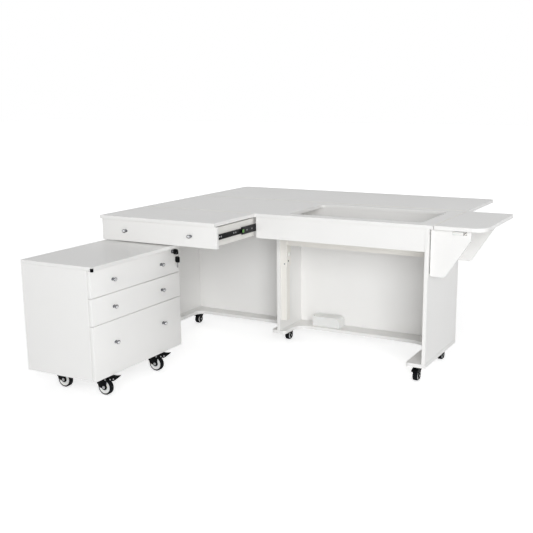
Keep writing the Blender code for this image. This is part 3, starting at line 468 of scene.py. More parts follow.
def block(name, low, high, edge, segments=2):
    """A board or block between two corners, with its edges rounded."""
    low, high = Vector(low), Vector(high)
    begin()
    bpy.ops.mesh.primitive_cube_add(size=1, location=(low + high) / 2, scale=high - low)
    return chamfer(placed(name), edge, segments)


def seed(name, spot):
    """A mesh of one point, left in edit mode."""
    begin()
    bpy.ops.mesh.primitive_plane_add(size=SEED, location=spot)
    piece = placed(name)
    bpy.ops.object.mode_set(mode="EDIT")
    bpy.ops.mesh.select_all(action="SELECT")
    bpy.ops.mesh.merge(type="CENTER")
    return piece


def chain(spots):
    """In edit mode, draws edges from the one selected point through the other spots."""
    for here, there in zip(spots, spots[1:]):
        bpy.ops.mesh.extrude_vertices_move(TRANSFORM_OT_translate={"value": there - here})
    bpy.ops.mesh.select_all(action="SELECT")


def cut(name, outline, along, low, high, edge, segments=2):
    """A flat piece from low to high along an axis, its outline in the other two axes."""
    order = {"X": (2, 0, 1), "Y": (0, 2, 1), "Z": (0, 1, 2)}[along]
    spots = [Vector([(a, b, low)[order[axis]] for axis in range(3)]) for a, b in outline]
    deep = Vector([(0, 0, high - low)[order[axis]] for axis in range(3)])
    piece = seed(name, spots[0])
    chain(spots)
    bpy.ops.mesh.edge_face_add()
    bpy.ops.mesh.extrude_region_move(TRANSFORM_OT_translate={"value": deep})
    bpy.ops.mesh.select_all(action="SELECT")
    bpy.ops.mesh.normals_make_consistent(inside=False)
    bpy.ops.object.mode_set(mode="OBJECT")
    return chamfer(piece, edge, segments)


def turned(name, profile, closed=False):
    """A piece turned about Z from a profile of (radius, height)."""
    spots = [Vector((radius, 0, height)) for radius, height in profile]
    if closed:
        spots.append(spots[0])
    piece = seed(name, spots[0])
    chain(spots)
    steps = bpy.context.scene.fitting_sizes.steps
    bpy.ops.mesh.spin(steps=steps, angle=math.tau, center=(0, 0, 0), axis=(0, 0, 1))
    bpy.ops.mesh.select_all(action="SELECT")
    bpy.ops.mesh.remove_doubles(threshold=MERGE)
    bpy.ops.mesh.normals_make_consistent(inside=False)
    bpy.ops.object.mode_set(mode="OBJECT")
    bpy.ops.object.shade_smooth_by_angle(angle=ROUND)
    return piece


def arc(centre, radius, start, end, steps):
    """Points on an arc, angles in degrees."""
    turn = [math.radians(start + (end - start) * step / steps) for step in range(steps + 1)]
    return [(centre[0] + radius * math.cos(t), centre[1] + radius * math.sin(t)) for t in turn]


def rounded(low, high, radius, steps=5):
    """A rectangle with round corners, from its low to its high corner."""
    places = (
        ((high[0] - radius, high[1] - radius), 0),
        ((low[0] + radius, high[1] - radius), 90),
        ((low[0] + radius, low[1] + radius), 180),
        ((high[0] - radius, low[1] + radius), 270),
    )
    return [spot for centre, start in places for spot in arc(centre, radius, start, start + 90, steps)]


def both_sides(half):
    """A wheel's whole profile from that of one side."""
    return [*half, *[(radius, -height) for radius, height in reversed(half)]]


def screw(name, radius, height):
    """A pan-head screw with a cross recess, standing on z = 0."""
    profile = ((0, 1), (0.55, 0.95), (0.88, 0.7), (1, 0.3), (1, 0))
    head = turned(name, [(radius * out, height * up) for out, up in profile])
    for wide, deep in ((0.45, 0.11), (0.11, 0.45)):
        low = (-radius * wide, -radius * deep, height * 0.6)
        high = (radius * wide, radius * deep, height * 1.2)
        hollowed(head, block(name + "_bar", low, high, radius * 0.03, 1))
    return head


def settle(piece, body, slot, build=None, stands_for=()):
    """Gives a finished piece its finish, the body it rides on and the nodes it stands for."""
    build = build or FINISH_OF_SLOT[slot]
    piece.data.materials.clear()
    piece.data.materials.append(finish(build.__name__, build))
    if stands_for:
        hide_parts(*stands_for)
    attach(piece, body)


def centre(node):
    low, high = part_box(node)
    return (low + high) / 2


def caddy_face(drawer):
    """X of a caddy drawer's front, found from how far a packed knob stands out of the return's."""
    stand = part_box("return_drawer_front")[0].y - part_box("return_knob_left")[0].y
    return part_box(drawer)[1].x - stand


class CABINET_OT_boards(bpy.types.Operator):
    """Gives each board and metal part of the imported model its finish"""

    bl_idname = "cabinet.boards"
    bl_label = "Finish the boards"
    bl_options = {"REGISTER", "UNDO"}

    def execute(self, context):
        finishes = {
            "return_drawer_box": drawer_foil,
            "lift_frame": powder_coat,
            "lift_rail_left": powder_coat,
            "lift_rail_right": powder_coat,
            "control_box": white_nylon,
        }
        for name, node in frame["nodes"].items():
            build = finishes.get(name, melamine)
            if name.startswith("slide_") and name != "slide_carrier":
                build = black_zinc
            node.data.materials.clear()
            node.data.materials.append(finish(build.__name__, build))
        return {"FINISHED"}


class CABINET_OT_casters(bpy.types.Operator):
    """Models one caster for the desk and one for the caddy, and fits a copy of each at its places"""

    bl_idname = "cabinet.casters"
    bl_label = "Casters"
    bl_options = {"REGISTER", "UNDO"}

    def execute(self, context):
        sizes = context.scene.caster_sizes
        kinds = (("desk", "middle", sizes.desk_plate), ("caddy", "caddy_near_front", sizes.caddy_plate))
        for kind, sample, side in kinds:
            models = self.model(kind, sample, side, sizes)
            for name, joint in JOINTS.items():
                if name.endswith("_swivel") and name.startswith("caddy") == (kind == "caddy"):
                    self.fit(name.removesuffix("_swivel"), joint, models)
            gone(*[piece for piece, *_ in models.values()])
        return {"FINISHED"}

    def model(self, kind, sample, side, sizes):
        """The pieces of one caster, its swivel axis at the origin and its wheel trailing along +X."""
        swivel = Vector(JOINTS[sample + "_swivel"]["pos_m"])
        axle = Vector(JOINTS[sample + "_roll"]["pos_m"])
        low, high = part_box(sample + "_caster_wheel")
        radius, half = axle.z, min((high - low).xy) / 2
        trail = (axle - swivel).xy.length
        under = swivel.z - sizes.plate_thick
        outside = half + sizes.cheek_gap + sizes.cheek_thick
        fork = self.fork(kind, side, under, radius, outside, trail, sizes)
        parts = {
            "plate": (self.plate(kind, side, under, sizes), "parent", "black_steel", None),
            "screws": (self.screws(kind, side, under, sizes), "parent", "chrome", nickel),
            "fork": (fork, "child", "black_plastic", None),
            "bolt": (self.bolt(kind, radius, outside, trail, sizes), "child", "chrome", nickel),
            "tyre": (self.tyre(kind, radius, half, trail, sizes), "wheel", "tyre", None),
            "ring": (self.ring(kind, radius, half, trail, sizes), "wheel", "white_plastic", None),
            "hub": (self.hub(kind, radius, half, trail, sizes), "wheel", "black_plastic", None),
        }
        if kind == "caddy":
            parts["rivets"] = (self.rivets(radius, outside, sizes), "child", "chrome", nickel)
        return parts

    def plate(self, kind, side, under, sizes):
        outline = rounded((-side / 2, -side / 2), (side / 2, side / 2), sizes.plate_corner)
        return cut(kind + "_plate", outline, "Z", under, under + sizes.plate_thick - HAIR, edge=0.0005)

    def screws(self, kind, side, under, sizes):
        place = side / 2 - sizes.plate_corner
        spots = [(x, y, under) for x in (-place, place) for y in (-place, place)]
        model = screw(kind + "_screw", sizes.screw_radius, sizes.screw_height)
        made = repeated(kind + "_screws", model, spots, TO_FLOOR)
        gone(model)
        return made

    def fork(self, kind, side, top, radius, outside, trail, sizes):
        """A ball race, two cheeks and a hood over the wheel; a caddy caster has a brake pedal too."""
        race = side * sizes.race
        low = top - sizes.race_height
        profile = [
            (0, top - 0.0003), (race * 0.86, top - 0.0003), (race * 0.86, top - 0.0015), (race, top - 0.002),
            (race, top - sizes.race_height * 0.6), (race * 0.8, low), (0, low),
        ]
        pieces = [turned(kind + "_race", profile)]
        shape = self.hooded if kind == "desk" else self.braked
        cheek, hood = shape(low, radius, trail, race, sizes)
        inside = outside - sizes.cheek_thick
        for inner, outer in ((inside, outside), (-outside, -inside)):
            pieces.append(cut(kind + "_cheek", cheek, "Y", inner, outer, edge=0.0012))
        half = outside - 0.0003
        pieces.append(cut(kind + "_hood", hood, "Y", -half, half, edge=0.0007))
        if kind == "caddy":
            pieces.append(self.pedal(top, radius, sizes))
        return joined(kind + "_fork", *pieces)

    def hooded(self, low, radius, trail, race, sizes):
        """Cheek and hood of a desk caster: the hood runs forward over the wheel and ends in a lip."""
        lip = trail + radius + sizes.lip_gap
        tip = lip + 0.0018
        foot = radius * 1.94
        brow = [
            (race * 1.35, low + 0.002), (race * 1.75, low - 0.001), (lip, foot + 0.009), (tip, foot + 0.006),
        ]
        cheek = [
            (-race, low + 0.001), (-race, low - 0.006),
            *arc((trail, radius), radius * 0.80, 150, 285, 12),
            (trail + 0.009, radius - 0.008), (trail + 0.009, radius + 0.012),
            (lip - 0.010, foot), (tip, foot), *reversed(brow),
        ]
        hood = [
            (-race, low + 0.002), *brow, (tip, foot), (lip - 0.0004, foot), (lip - 0.0004, foot + 0.005),
            (race * 1.70, low - 0.0035), (race * 1.35, low - 0.0008), (-race, low - 0.0008),
        ]
        return cheek, hood

    def braked(self, low, radius, trail, race, sizes):
        """Cheek and hood of a caddy caster: a broad arm to the axle, and a crown over the wheel's back."""
        crown = radius + sizes.hood_gap
        cheek = [
            (-race * 0.85, low + 0.001), (-race * 0.85, low - 0.010), (trail - radius * 0.94, radius + 0.016),
            (trail - radius * 0.90, radius + 0.003), (trail - radius * 0.52, radius - 0.006),
            *arc((trail, radius), radius * 0.36, 205, 380, 12),
            (race * 1.42, radius + 0.028), (race * 1.42, low - 0.004), (race * 1.2, low + 0.001),
        ]
        hood = [
            *arc((trail, radius), crown, 62, 165, 12), (-race * 0.8, radius + crown * 0.40),
            (-race * 0.8, low + 0.0015), (race * 1.1, low + 0.0015), (race * 1.38, low - 0.006),
        ]
        return cheek, hood

    def pedal(self, top, radius, sizes):
        """A brake pedal: a wedge that stands over the wheel's front, rises to its tip and narrows there."""
        high = top + sizes.plate_thick - sizes.pedal_drop
        reach, half = sizes.pedal_reach, sizes.pedal_width / 2
        wheel = radius * 2
        lever = [
            (reach * 0.33, wheel + 0.003), (reach * 0.50, wheel - 0.003), (reach * 0.67, wheel - 0.002),
            (reach * 0.985, high - 0.005), (reach, high - 0.002), (reach * 0.985, high),
            (reach * 0.80, high - 0.004), (reach * 0.62, high - 0.005), (reach * 0.33, high - 0.004),
        ]
        pedal = cut("pedal", lever, "Y", -half, half, edge=0.0012)
        return stretched(pedal, lambda spot: spot.x > reach * 0.75, (1, 0.85, 1), (reach, 0, high))

    def rivets(self, radius, outside, sizes):
        """Bright rivets along both sides of the brake: one on the cheek, two on the pedal."""
        reach, half = sizes.pedal_reach, sizes.pedal_width / 2
        wheel = radius * 2
        spots = (
            (reach * 0.28, outside, wheel + 0.001), (reach * 0.51, half, wheel + 0.004),
            (reach * 0.70, half, wheel + 0.009),
        )
        profile = [(0, 0.0014), (0.0026, 0.0011), (0.0038, 0.0002), (0.0038, -0.0006), (0, -0.0006)]
        model = turned("rivet", profile)
        rows = [
            repeated("rivets", model, [(x, side * y, z) for x, y, z in spots], columns)
            for side, columns in ((-1, TO_FRONT), (1, TO_BACK))
        ]
        gone(model)
        return joined("caddy_rivets", *rows)

    def bolt(self, kind, radius, outside, trail, sizes):
        """The axle's two hexagon ends, sunk a little into the cheeks."""
        sunk, proud = 0.0005, 0.0022
        hexagon = arc((trail, radius), radius * sizes.bolt, 0, 300, 5)
        ends = []
        for side in (1, -1):
            low, high = sorted((side * (outside - sunk), side * (outside + proud)))
            ends.append(cut(kind + "_bolt_end", hexagon, "Y", low, high, edge=0.0004))
        return joined(kind + "_bolt", *ends)

    def tyre(self, kind, radius, half, trail, sizes):
        """The tread, with soft shoulders."""
        inner, soft = radius * sizes.ring_out, sizes.tyre_round
        shoulder = arc((radius - soft, half - soft), soft, 0, 90, 6)
        profile = both_sides([(inner, half * 0.92), *reversed(shoulder)])
        return self.on_axle(kind + "_tyre", profile, radius, trail)

    def ring(self, kind, radius, half, trail, sizes):
        """The wheel's moulded centre, dished between a rim and a hub."""
        outer, inner = radius * sizes.ring_out, radius * sizes.ring_in
        face = half * 0.97
        side = [
            (inner, face * 0.80), (inner + radius * 0.05, face * 0.93), (outer - radius * 0.10, face * 0.93),
            (outer - radius * 0.06, face), (outer - radius * 0.01, face), (outer, face * 0.9),
        ]
        return self.on_axle(kind + "_ring", both_sides(side), radius, trail)

    def hub(self, kind, radius, half, trail, sizes):
        """The black bush round the axle."""
        outer, bore = radius * sizes.ring_in, radius * 0.1
        side = [
            (bore, half), (outer * 0.55, half), (outer * 0.62, half * 0.93), (outer * 0.9, half * 0.93),
            (outer, half * 0.78),
        ]
        return self.on_axle(kind + "_hub", both_sides(side), radius, trail)

    def on_axle(self, name, profile, radius, trail):
        return posed(turned(name, profile, closed=True), (trail, 0, radius), TO_BACK)

    def fit(self, name, joint, models):
        """Copies one caster to its place, each piece on its own body."""
        roll = JOINTS[name + "_roll"]
        swivel = Vector(joint["pos_m"])
        ahead = (Vector(roll["pos_m"]) - swivel).xy.normalized()
        columns = ((ahead.x, ahead.y, 0), (-ahead.y, ahead.x, 0), (0, 0, 1))
        bodies = {"parent": joint["parent"], "child": joint["child"], "wheel": roll["child"]}
        nodes = {"fork": [joint["child"]], "tyre": [roll["child"]]}
        for part, (model, owner, slot, build) in models.items():
            piece = copied(model, "%s_caster_%s_piece" % (name, part), (swivel.x, swivel.y, 0), columns)
            settle(piece, bodies[owner], slot, build, nodes.get(part, ()))


class CABINET_OT_caddy_drawers(bpy.types.Operator):
    """Builds each caddy drawer as a front board and a box with its floor let in"""

    bl_idname = "cabinet.caddy_drawers"
    bl_label = "Caddy drawers"
    bl_options = {"REGISTER", "UNDO"}

    def execute(self, context):
        sizes = context.scene.fitting_sizes
        for drawer in DRAWERS:
            low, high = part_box(drawer)
            face = caddy_face(drawer)
            inner = face - sizes.front_thick
            front = block(drawer + "_front_board", (inner, low.y, low.z), (face, high.y, high.z), sizes.edge)
            settle(front, drawer, "white_laminate", None, [drawer])
            if drawer == DEEP_DRAWER:
                base, rim = low.z + sizes.deep_lift, high.z - sizes.deep_drop
            else:
                base, rim = low.z + sizes.box_lift, low.z + sizes.box_lift + sizes.box_height
            near = Vector((low.x, low.y + sizes.box_side, base))
            far = Vector((inner - HAIR, high.y - sizes.box_side, rim))
            settle(self.shell(drawer + "_box", near, far, sizes), drawer, "drawer_board")
        return {"FINISHED"}

    def shell(self, name, low, high, sizes):
        """An open box: the top is inset by the walls and sunk to the floor."""
        begin()
        bpy.ops.mesh.primitive_cube_add(size=1, location=(low + high) / 2, scale=high - low)
        piece = placed(name)
        bpy.ops.object.mode_set(mode="EDIT")
        bpy.ops.mesh.select_mode(type="FACE")
        bpy.ops.mesh.select_all(action="DESELECT")
        bpy.ops.object.mode_set(mode="OBJECT")
        for face in piece.data.polygons:
            face.select = face.normal.z > 0.9
        bpy.ops.object.mode_set(mode="EDIT")
        bpy.ops.mesh.inset(thickness=sizes.wall)
        sink = (0, 0, low.z + sizes.floor_thick - high.z)
        bpy.ops.mesh.extrude_region_move(TRANSFORM_OT_translate={"value": sink})
        bpy.ops.mesh.select_mode(type="VERT")
        bpy.ops.object.mode_set(mode="OBJECT")
        return chamfer(piece, width=0.0008)


class CABINET_OT_knobs(bpy.types.Operator):
    """Turns one oval knob and fits a copy to each drawer front"""

    bl_idname = "cabinet.knobs"
    bl_label = "Knobs"
    bl_options = {"REGISTER", "UNDO"}

    # Radii over the knob's half height, and heights above the drawer's front.
    GRIP = (
        (0, 0), (0.82, 0), (0.86, 0.0006), (0.80, 0.0014), (0.56, 0.0022), (0.50, 0.0040), (0.50, 0.0085),
        (0.60, 0.0105), (0.86, 0.0122), (0.97, 0.0134), (1, 0.0146), (0.98, 0.0158), (0.84, 0.0168),
        (0.5, 0.0174), (0, 0.0176),
    )
    FACE = ((0, 0.0181), (0.40, 0.0179), (0.60, 0.0174), (0.64, 0.0168), (0, 0.0168))
    # Where the round neck ends and the oval head begins, and where the head is widest.
    NECK = 0.0115
    WIDEST = 0.0146

    def execute(self, context):
        sizes = context.scene.fitting_sizes
        models = self.oval("knob", self.GRIP, sizes), self.oval("knob_face", self.FACE, sizes)
        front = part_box("return_drawer_front")[0].y
        for node in ("return_knob_left", "return_knob_right"):
            middle = centre(node)
            at = (middle.x, front, middle.z)
            self.fit(models, (node + "_piece", node + "_face"), "return_drawer", at, TO_FRONT, [node])
        for drawer in DRAWERS:
            low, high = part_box(drawer)
            up = high.z - sizes.deep_knob_drop if drawer == DEEP_DRAWER else (low.z + high.z) / 2
            for end, y in (("near", low.y + sizes.knob_end), ("far", high.y - sizes.knob_end)):
                name = "%s_knob_%s" % (drawer, end)
                self.fit(models, (name, name + "_face"), drawer, (caddy_face(drawer), y, up), TO_RIGHT)
        gone(*models)
        return {"FINISHED"}

    def oval(self, name, profile, sizes):
        """Turns a part of the knob and stretches its head into an oval."""
        tall = sizes.knob_tall / 2
        piece = turned(name, [(tall * out, up) for out, up in profile])
        scale = (sizes.knob_width / sizes.knob_tall, 1, 1)
        return stretched(piece, lambda spot: spot.z > self.NECK, scale, (0, 0, self.WIDEST))

    def fit(self, models, names, body, at, columns, stands_for=()):
        grip, face = [copied(model, name, at, columns) for model, name in zip(models, names)]
        settle(grip, body, "chrome", None, stands_for)
        # The face gets a lighter chrome than the grip: a painted highlight.
        settle(face, body, "chrome", polished_highlight_chrome)


class CABINET_OT_lock(bpy.types.Operator):
    """Fits the lock, its key and the spare key on a ring"""

    bl_idname = "cabinet.lock"
    bl_label = "Lock and keys"
    bl_options = {"REGISTER", "UNDO"}

    # Radii and heights of the lock's fixed collar and of the plug that turns in it.
    COLLAR = (
        (0.0068, 0), (0.0098, 0), (0.0098, 0.0008), (0.0090, 0.0022), (0.0076, 0.0028), (0.0068, 0.0022),
    )
    PLUG = ((0, 0), (0.0064, 0), (0.0064, 0.0018), (0.0058, 0.0024), (0, 0.0024))
    # The shank's corners, from the middle of the lock's face and from where the key's head begins.
    SHANK_LOW = Vector((0.002, -0.001, -0.0025))
    SHANK_HIGH = Vector((0.004, 0.001, 0.0025))
    # Half the width and half the thickness of the spare key's blade, and how deep it sits in the head.
    BLADE = 0.004
    FLAT = 0.001
    SET_IN = 0.004
    # The blade's cuts, across it and above its tip.
    CUTS = (
        (-0.004, 0.003), (0, 0), (0.004, 0.003), (0.0022, 0.007),
        (0.004, 0.010), (0.0028, 0.014), (0.004, 0.018),
    )

    def execute(self, context):
        sizes = context.scene.fitting_sizes
        at = Vector(JOINTS["lock_turn"]["pos_m"])
        at.x = caddy_face(LOCKED_DRAWER)
        collar = posed(turned("lock_collar", self.COLLAR, closed=True), at, TO_RIGHT)
        settle(collar, LOCKED_DRAWER, "black_steel")
        settle(posed(turned("lock_plug", self.PLUG), at, TO_RIGHT), "lock", "chrome")
        start = at + Vector((sizes.key_stand, 0, 0))
        shank = block("lock_key_shank", at + self.SHANK_LOW, start + self.SHANK_HIGH, edge=0.0003)
        settle(shank, "lock", "chrome", nickel)
        head = self.head("lock_key_head", sizes.key_bow * 0.92, sizes.key_bow, sizes)
        posed(head, start, ((0, 0, -1), (0, 1, 0), (1, 0, 0)))
        settle(head, "lock", "black_plastic", None, ["lock_key"])
        self.spare(at, sizes)
        return {"FINISHED"}

    def head(self, name, wide, tall, sizes):
        """A moulded key head that stands up from z = 0, with a hole near its far end."""
        half = sizes.key_thick / 2
        outline = rounded((-wide / 2, 0), (wide / 2, tall), wide * 0.32, 6)
        head = cut(name, outline, "Y", -half, half, half * 0.45, 3)
        begin()
        bpy.ops.mesh.primitive_cylinder_add(
            vertices=20, radius=0.0026, depth=half * 4,
            location=(0, 0, tall - sizes.key_hole), rotation=(math.pi / 2, 0, 0),
        )
        hollowed(head, placed("drill"))
        bpy.ops.object.shade_smooth_by_angle(angle=ROUND)
        return head

    def spare(self, at, sizes):
        """The ring hangs in the first key's hole and holds the second key."""
        wire = sizes.key_wire
        hole = at.x + sizes.key_stand + sizes.key_bow - sizes.key_hole
        hang = Vector((hole, at.y, at.z - sizes.key_ring - wire))
        begin()
        bpy.ops.mesh.primitive_torus_add(
            major_radius=sizes.key_ring, minor_radius=wire, major_segments=40, minor_segments=10,
            location=hang, rotation=(0, math.pi / 2, 0),
        )
        ring = placed("key_ring")
        bpy.ops.object.shade_smooth_by_angle(angle=ROUND)
        settle(ring, "lock", "chrome")
        wide, tall = sizes.key_bow * 0.86, sizes.key_bow * 1.08
        base = hang.z - sizes.key_ring + sizes.key_hole - wire * 2 - tall
        head = self.head("spare_key_head", wide, tall, sizes)
        settle(posed(head, (hang.x, hang.y, base)), "lock", "black_plastic")
        tip, root = base - sizes.key_blade, base + self.SET_IN
        cuts = [(hang.x + across, tip + up) for across, up in self.CUTS]
        outline = [(hang.x - self.BLADE, root), *cuts, (hang.x + self.BLADE, root)]
        blade = cut("spare_key_blade", outline, "Y", hang.y - self.FLAT, hang.y + self.FLAT, edge=0.0002)
        settle(blade, "lock", "chrome", nickel)


class CABINET_OT_hinges(bpy.types.Operator):
    """Strip hinges with knuckles, half of each on the fixed board and half on the board that swings"""

    bl_idname = "cabinet.hinges"
    bl_label = "Strip hinges"
    bl_options = {"REGISTER", "UNDO"}

    # Each hinge's node, the body that swings, its joint, and the columns that turn the modelled strip to it.
    STRIPS = (
        ("rear_hinge", "rear_leaf", "rear_leaf_fold", UPRIGHT),
        ("return_hinge", "return_leaf", "return_leaf_fold", ((-1, 0, 0), (0, -1, 0), (0, 0, 1))),
        ("right_hinge", "right_leaf", "right_leaf_fold", ((0, -1, 0), (1, 0, 0), (0, 0, 1))),
        ("front_bracket_hinge", "front_bracket", "front_bracket_swing", ((0, 0, 1), (1, 0, 0), (0, 1, 0))),
        ("rear_bracket_hinge", "rear_bracket", "rear_bracket_swing", ((0, 0, -1), (1, 0, 0), (0, -1, 0))),
    )

    def execute(self, context):
        sizes = context.scene.fitting_sizes
        for node, leaf, joint, columns in self.STRIPS:
            low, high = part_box(node)
            along = columns[0]
            axis = next(index for index in range(3) if along[index])
            start = Vector(JOINTS[joint]["pos_m"])
            start[axis] = low[axis] if along[axis] > 0 else high[axis]
            on_bracket = axis == 2
            depth = sizes.bracket_depth if on_bracket else sizes.leaf_depth
            # The bracket hinges are black so that they draw the dark line along each bracket's edge, where
            # there is a shadowed gap: painted shade.
            slot = "black_steel" if on_bracket else "white_enamel"
            fixed, moving = self.strip(node, high[axis] - low[axis], depth, sizes)
            settle(posed(fixed, start, columns), "desk", slot, None, [node])
            settle(posed(moving, start, columns), leaf, slot)
        return {"FINISHED"}

    def strip(self, name, reach, depth, sizes):
        """Both halves along +X, the fixed board on the -Y side, the leaves hanging down."""
        count = max(3, round(reach / sizes.knuckle))
        pitch = reach / count
        outer = sizes.hinge_radius + 0.0001
        inner = outer - sizes.hinge_plate
        halves = []
        for label, first, side in (("fixed", 0, -1), ("moving", 1, 1)):
            begin()
            bpy.ops.mesh.primitive_cylinder_add(
                vertices=14, radius=sizes.hinge_radius, depth=pitch - sizes.knuckle_gap,
                location=(pitch * (first + 0.5), 0, 0), rotation=(0, math.pi / 2, 0),
            )
            knuckle = chamfer(placed("%s_%s" % (name, label)), sizes.knuckle_gap * 0.4, 1)
            bpy.ops.object.modifier_add(type="ARRAY")
            row = knuckle.modifiers[-1]
            row.use_relative_offset = False
            row.use_constant_offset = True
            row.constant_offset_displace = (2 * pitch, 0, 0)
            row.count = (count - first + 1) // 2
            bpy.ops.object.modifier_apply(modifier=row.name)
            near, far = sorted((side * inner, side * outer))
            plate = block("plate", (0, near, -depth), (reach, far, -HAIR), 0.0002, 1)
            halves.append(joined("%s_%s" % (name, label), knuckle, plate))
        return halves


class CABINET_OT_slides(bpy.types.Operator):
    """Inner slide members as channels with screws, and the release tab of each middle member"""

    bl_idname = "cabinet.slides"
    bl_label = "Drawer slides"
    bl_options = {"REGISTER", "UNDO"}

    # Places of the inner member's screws and of the middle member's rivets, from its front end.
    SCREWS = (0.018, 0.034, 0.150, 0.168, 0.300)
    RIVETS = (0.045, 0.095, 0.150, 0.260)
    RIVET = ((0, 0.0003), (0.0035, 0.0003), (0.0042, 0.0001), (0.0042, -0.0004), (0, -0.0004))
    # The inner channel's web, its rolled lips, and the slope from each lip down to the web.
    WEB = 0.002
    LIP = 0.0045
    SLOPE = 0.002
    # The release tab's corners, from the middle member's front end and mid height, and its corner radius.
    TAB_LOW = (0.0005, -0.0085)
    TAB_HIGH = (0.0185, 0.0065)
    TAB_ROUND = 0.004

    def execute(self, context):
        for side, outward in (("right", 1), ("left", -1)):
            self.inner(side, outward)
            self.middle(side, outward)
        return {"FINISHED"}

    def inner(self, side, outward):
        node = "slide_inner_" + side
        low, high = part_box(node)
        back, mouth = (low.x, high.x) if outward > 0 else (high.x, low.x)
        wall = back + outward * self.WEB
        bottom, top = low.z + self.LIP, high.z - self.LIP
        outline = [
            (back, low.z), (mouth, low.z), (mouth, bottom), (wall, bottom + self.SLOPE),
            (wall, top - self.SLOPE), (mouth, top), (mouth, high.z), (back, high.z),
        ]
        channel = cut(node + "_channel", outline, "Y", low.y, high.y, edge=0.0006)
        settle(channel, "return_drawer", "black_steel", None, [node])
        model = screw(node + "_screw", radius=0.0042, height=0.0016)
        spots = [(wall, low.y + along, (low.z + high.z) / 2) for along in self.SCREWS]
        settle(repeated(node + "_screws", model, spots, SIDEWAYS[outward]), "return_drawer", "chrome", nickel)
        gone(model)

    def middle(self, side, outward):
        node = "slide_middle_" + side
        low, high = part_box(node)
        face = high.x if outward > 0 else low.x
        middle = (low.z + high.z) / 2
        sunk, proud = 0.0017, 0.00015
        near, far = sorted((face - outward * sunk, face + outward * proud))
        corners = [(low.y + along, middle + up) for along, up in (self.TAB_LOW, self.TAB_HIGH)]
        outline = rounded(*corners, self.TAB_ROUND)
        tab = cut(node + "_tab", outline, "X", near, far, edge=0.0001)
        settle(tab, "slide_" + side, "white_plastic", release_acetal)
        model = turned(node + "_rivet", self.RIVET)
        spots = [(face, low.y + along, middle) for along in self.RIVETS]
        settle(repeated(node + "_rivets", model, spots, SIDEWAYS[outward]), "slide_" + side, "chrome", nickel)
        gone(model)


class CABINET_OT_bracket_catches(bpy.types.Operator):
    """The catch in the notch of each swing bracket, its hook, and a thin black strip between them that is
    painted shade for the dark slit there
    """

    bl_idname = "cabinet.bracket_catches"
    bl_label = "Bracket catches"
    bl_options = {"REGISTER", "UNDO"}

    # From the bracket's hinged end to its notch.
    NOTCH = 0.1025
    # Each piece's slot, half width and edge, and its outline from the notch's start and below the top.
    PIECES = {
        "catch": ("white_plastic", 0.0075, 0.001, (
            (0, 0.0172), (0.049, 0.0172), (0.049, 0.005),
            (0.045, 0.0015), (0.004, 0.0015), (0, 0.005),
        )),
        "hook": ("white_enamel", 0.0072, 0.0005, (
            (0.0525, 0.0172), (0.056, 0.0172), (0.0655, 0.008),
            (0.0655, 0.003), (0.062, 0.0045), (0.0525, 0.0135),
        )),
        # A thin black steel strip between catch and hook, where there is only a shadowed slit: painted shade.
        "spring": ("black_steel", 0.0060, 0.0004, (
            (0.0495, 0.0172), (0.052, 0.0172), (0.052, 0.0132),
            (0.0615, 0.0043), (0.060, 0.0035), (0.0495, 0.0128),
        )),
    }

    def execute(self, context):
        for body in ("front_bracket", "rear_bracket"):
            low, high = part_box(body)
            start, middle = low.x + self.NOTCH, (low.y + high.y) / 2
            for part, (slot, half, edge, shape) in self.PIECES.items():
                outline = [(start + along, high.z - drop) for along, drop in shape]
                piece = cut("%s_%s" % (body, part), outline, "Y", middle - half, middle + half, edge)
                settle(piece, body, slot)
        return {"FINISHED"}


class CABINET_OT_lift(bpy.types.Operator):
    """Screws and guides of the machine lift"""

    bl_idname = "cabinet.lift"
    bl_label = "Machine lift"
    bl_options = {"REGISTER", "UNDO"}

    # From a rail's inner side to the carriage's face, and how far a guide is let in there and stands out.
    CARRIAGE = 0.0063
    GUIDE_IN = 0.0003
    GUIDE_OUT = 0.006
    # Places on the carriage, back from its front and up from its foot.
    GUIDE_LOW = (0.0145, 0.056)
    GUIDE_HIGH = (0.0345, 0.075)
    STUD = (0.018, 0.029)
    # The foot's screw, in from the rail's middle and up from the carriage's foot.
    FOOT_SCREW = (0.008, 0.014)
    # A rail's screws, from its foot and its top. They are let in so that the carriage passes over them.
    RAIL_SCREWS = (0.020, 0.030)
    LET_IN = 0.00165

    def execute(self, context):
        low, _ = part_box("lift_frame")
        model = screw("lift_screw", radius=0.0042, height=0.0018)
        for side, inward in (("left", 1), ("right", -1)):
            bottom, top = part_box("lift_rail_" + side)
            middle = (bottom.x + top.x) / 2
            spot = (middle + inward * self.FOOT_SCREW[0], low.y, low.z + self.FOOT_SCREW[1])
            settle(copied(model, "lift_screw_" + side, spot, TO_FRONT), "lift", "chrome", nickel)
            heights = bottom.z + self.RAIL_SCREWS[0], top.z - self.RAIL_SCREWS[1]
            spots = [(middle, bottom.y + self.LET_IN, up) for up in heights]
            settle(repeated("rail_screws_" + side, model, spots, TO_FRONT), "desk", "white_enamel")
            face = top.x + self.CARRIAGE if inward > 0 else bottom.x - self.CARRIAGE
            ends = sorted((face - inward * self.GUIDE_IN, face + inward * self.GUIDE_OUT))
            places = zip(ends, (self.GUIDE_LOW, self.GUIDE_HIGH))
            corners = [(x, low.y + back, low.z + up) for x, (back, up) in places]
            settle(block("lift_guide_" + side, *corners, edge=0.002), "lift", "white_plastic")
            spot = (face, low.y + self.STUD[0], low.z + self.STUD[1])
            settle(copied(model, "lift_stud_" + side, spot, SIDEWAYS[inward]), "lift", "black_steel")
        gone(model)
        return {"FINISHED"}


